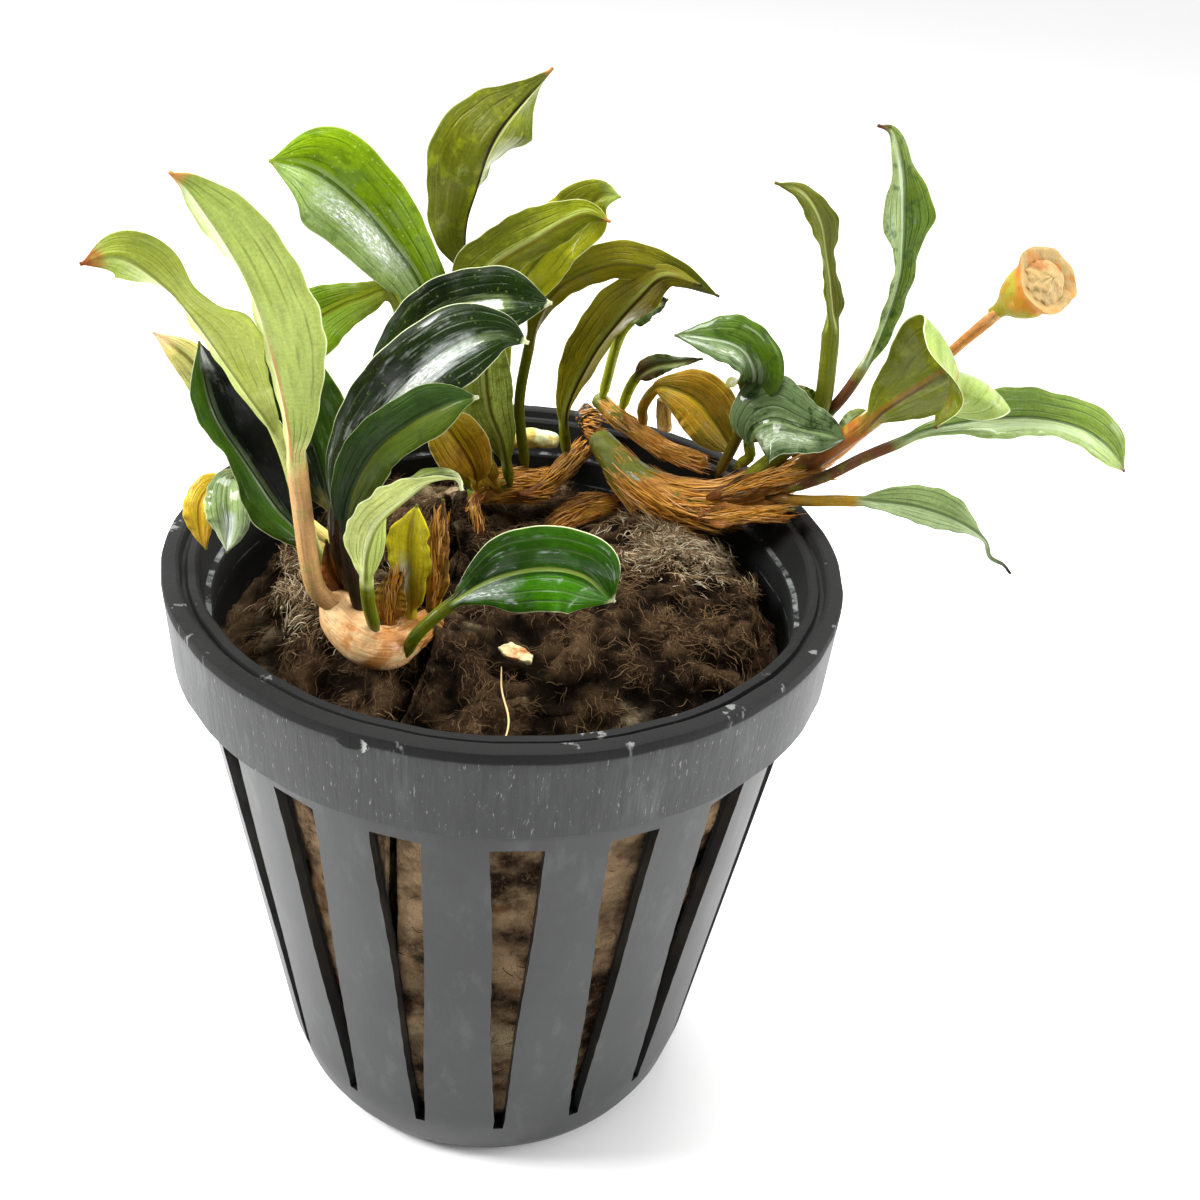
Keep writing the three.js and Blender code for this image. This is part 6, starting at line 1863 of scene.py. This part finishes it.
def soft_light(name, place, target, width, height, power):
    """A rectangular lamp of that size in millimetres, turned to face its target."""
    lamp = bpy.data.objects.new(name, bpy.data.lights.new(name, "AREA"))
    lamp.data.shape = "RECTANGLE"
    lamp.data.size = width * MM
    lamp.data.size_y = height * MM
    lamp.data.energy = power
    aim = (Vector(target) - Vector(place)).to_track_quat("-Z", "Y").to_matrix().to_4x4()
    lamp.matrix_world = Matrix.Translation(Vector(place) * MM) @ aim
    bpy.context.scene.collection.objects.link(lamp)


def build_studio():
    """A pale floor in a white tent that is dim on the side of the camera, with three lamps.

    The tent's light falls from full to dim as its direction nears the middle of the dim side, by a smooth
    step.
    """
    reach = FLOOR_REACH * MM
    mesh = bpy.data.meshes.new("floor")
    corners = [(-reach, -reach, 0), (reach, -reach, 0), (reach, reach, 0), (-reach, reach, 0)]
    mesh.from_pydata(corners, [], [(0, 1, 2, 3)])
    mesh.materials.append(Finish("floor_paint", Base_Color=(0.95, 0.95, 0.95, 1), Roughness=0.9).material)
    floor = bpy.data.objects.new("floor", mesh)
    bpy.context.scene.collection.objects.link(floor)
    world = bpy.data.worlds.new("studio")
    world.use_nodes = True
    tree = world.node_tree
    way = tree.nodes.new("ShaderNodeTexCoord")
    nearness = tree.nodes.new("ShaderNodeVectorMath")
    nearness.operation = "DOT_PRODUCT"
    nearness.inputs[1].default_value = DIM_SIDE
    step = tree.nodes.new("ShaderNodeMapRange")
    step.interpolation_type = "SMOOTHSTEP"
    limits = {"From Min": DIM_START, "From Max": DIM_END, "To Min": TENT_LIGHT, "To Max": DIM_LIGHT}
    for key, value in limits.items():
        step.inputs[key].default_value = value
    background = tree.nodes["Background"]
    background.inputs["Color"].default_value = (1, 1, 1, 1)
    tree.links.new(way.outputs["Generated"], nearness.inputs[0])
    tree.links.new(nearness.outputs["Value"], step.inputs["Value"])
    tree.links.new(step.outputs["Result"], background.inputs["Strength"])
    bpy.context.scene.world = world
    bpy.context.scene.view_settings.view_transform = "Standard"
    for name, lamp in LAMPS.items():
        soft_light(name, *lamp)


build_pot()
build_wool()
build_thread()
build_stems()
build_sheath_fibres()
build_leaves()
build_flower()
build_chip()
build_studio()
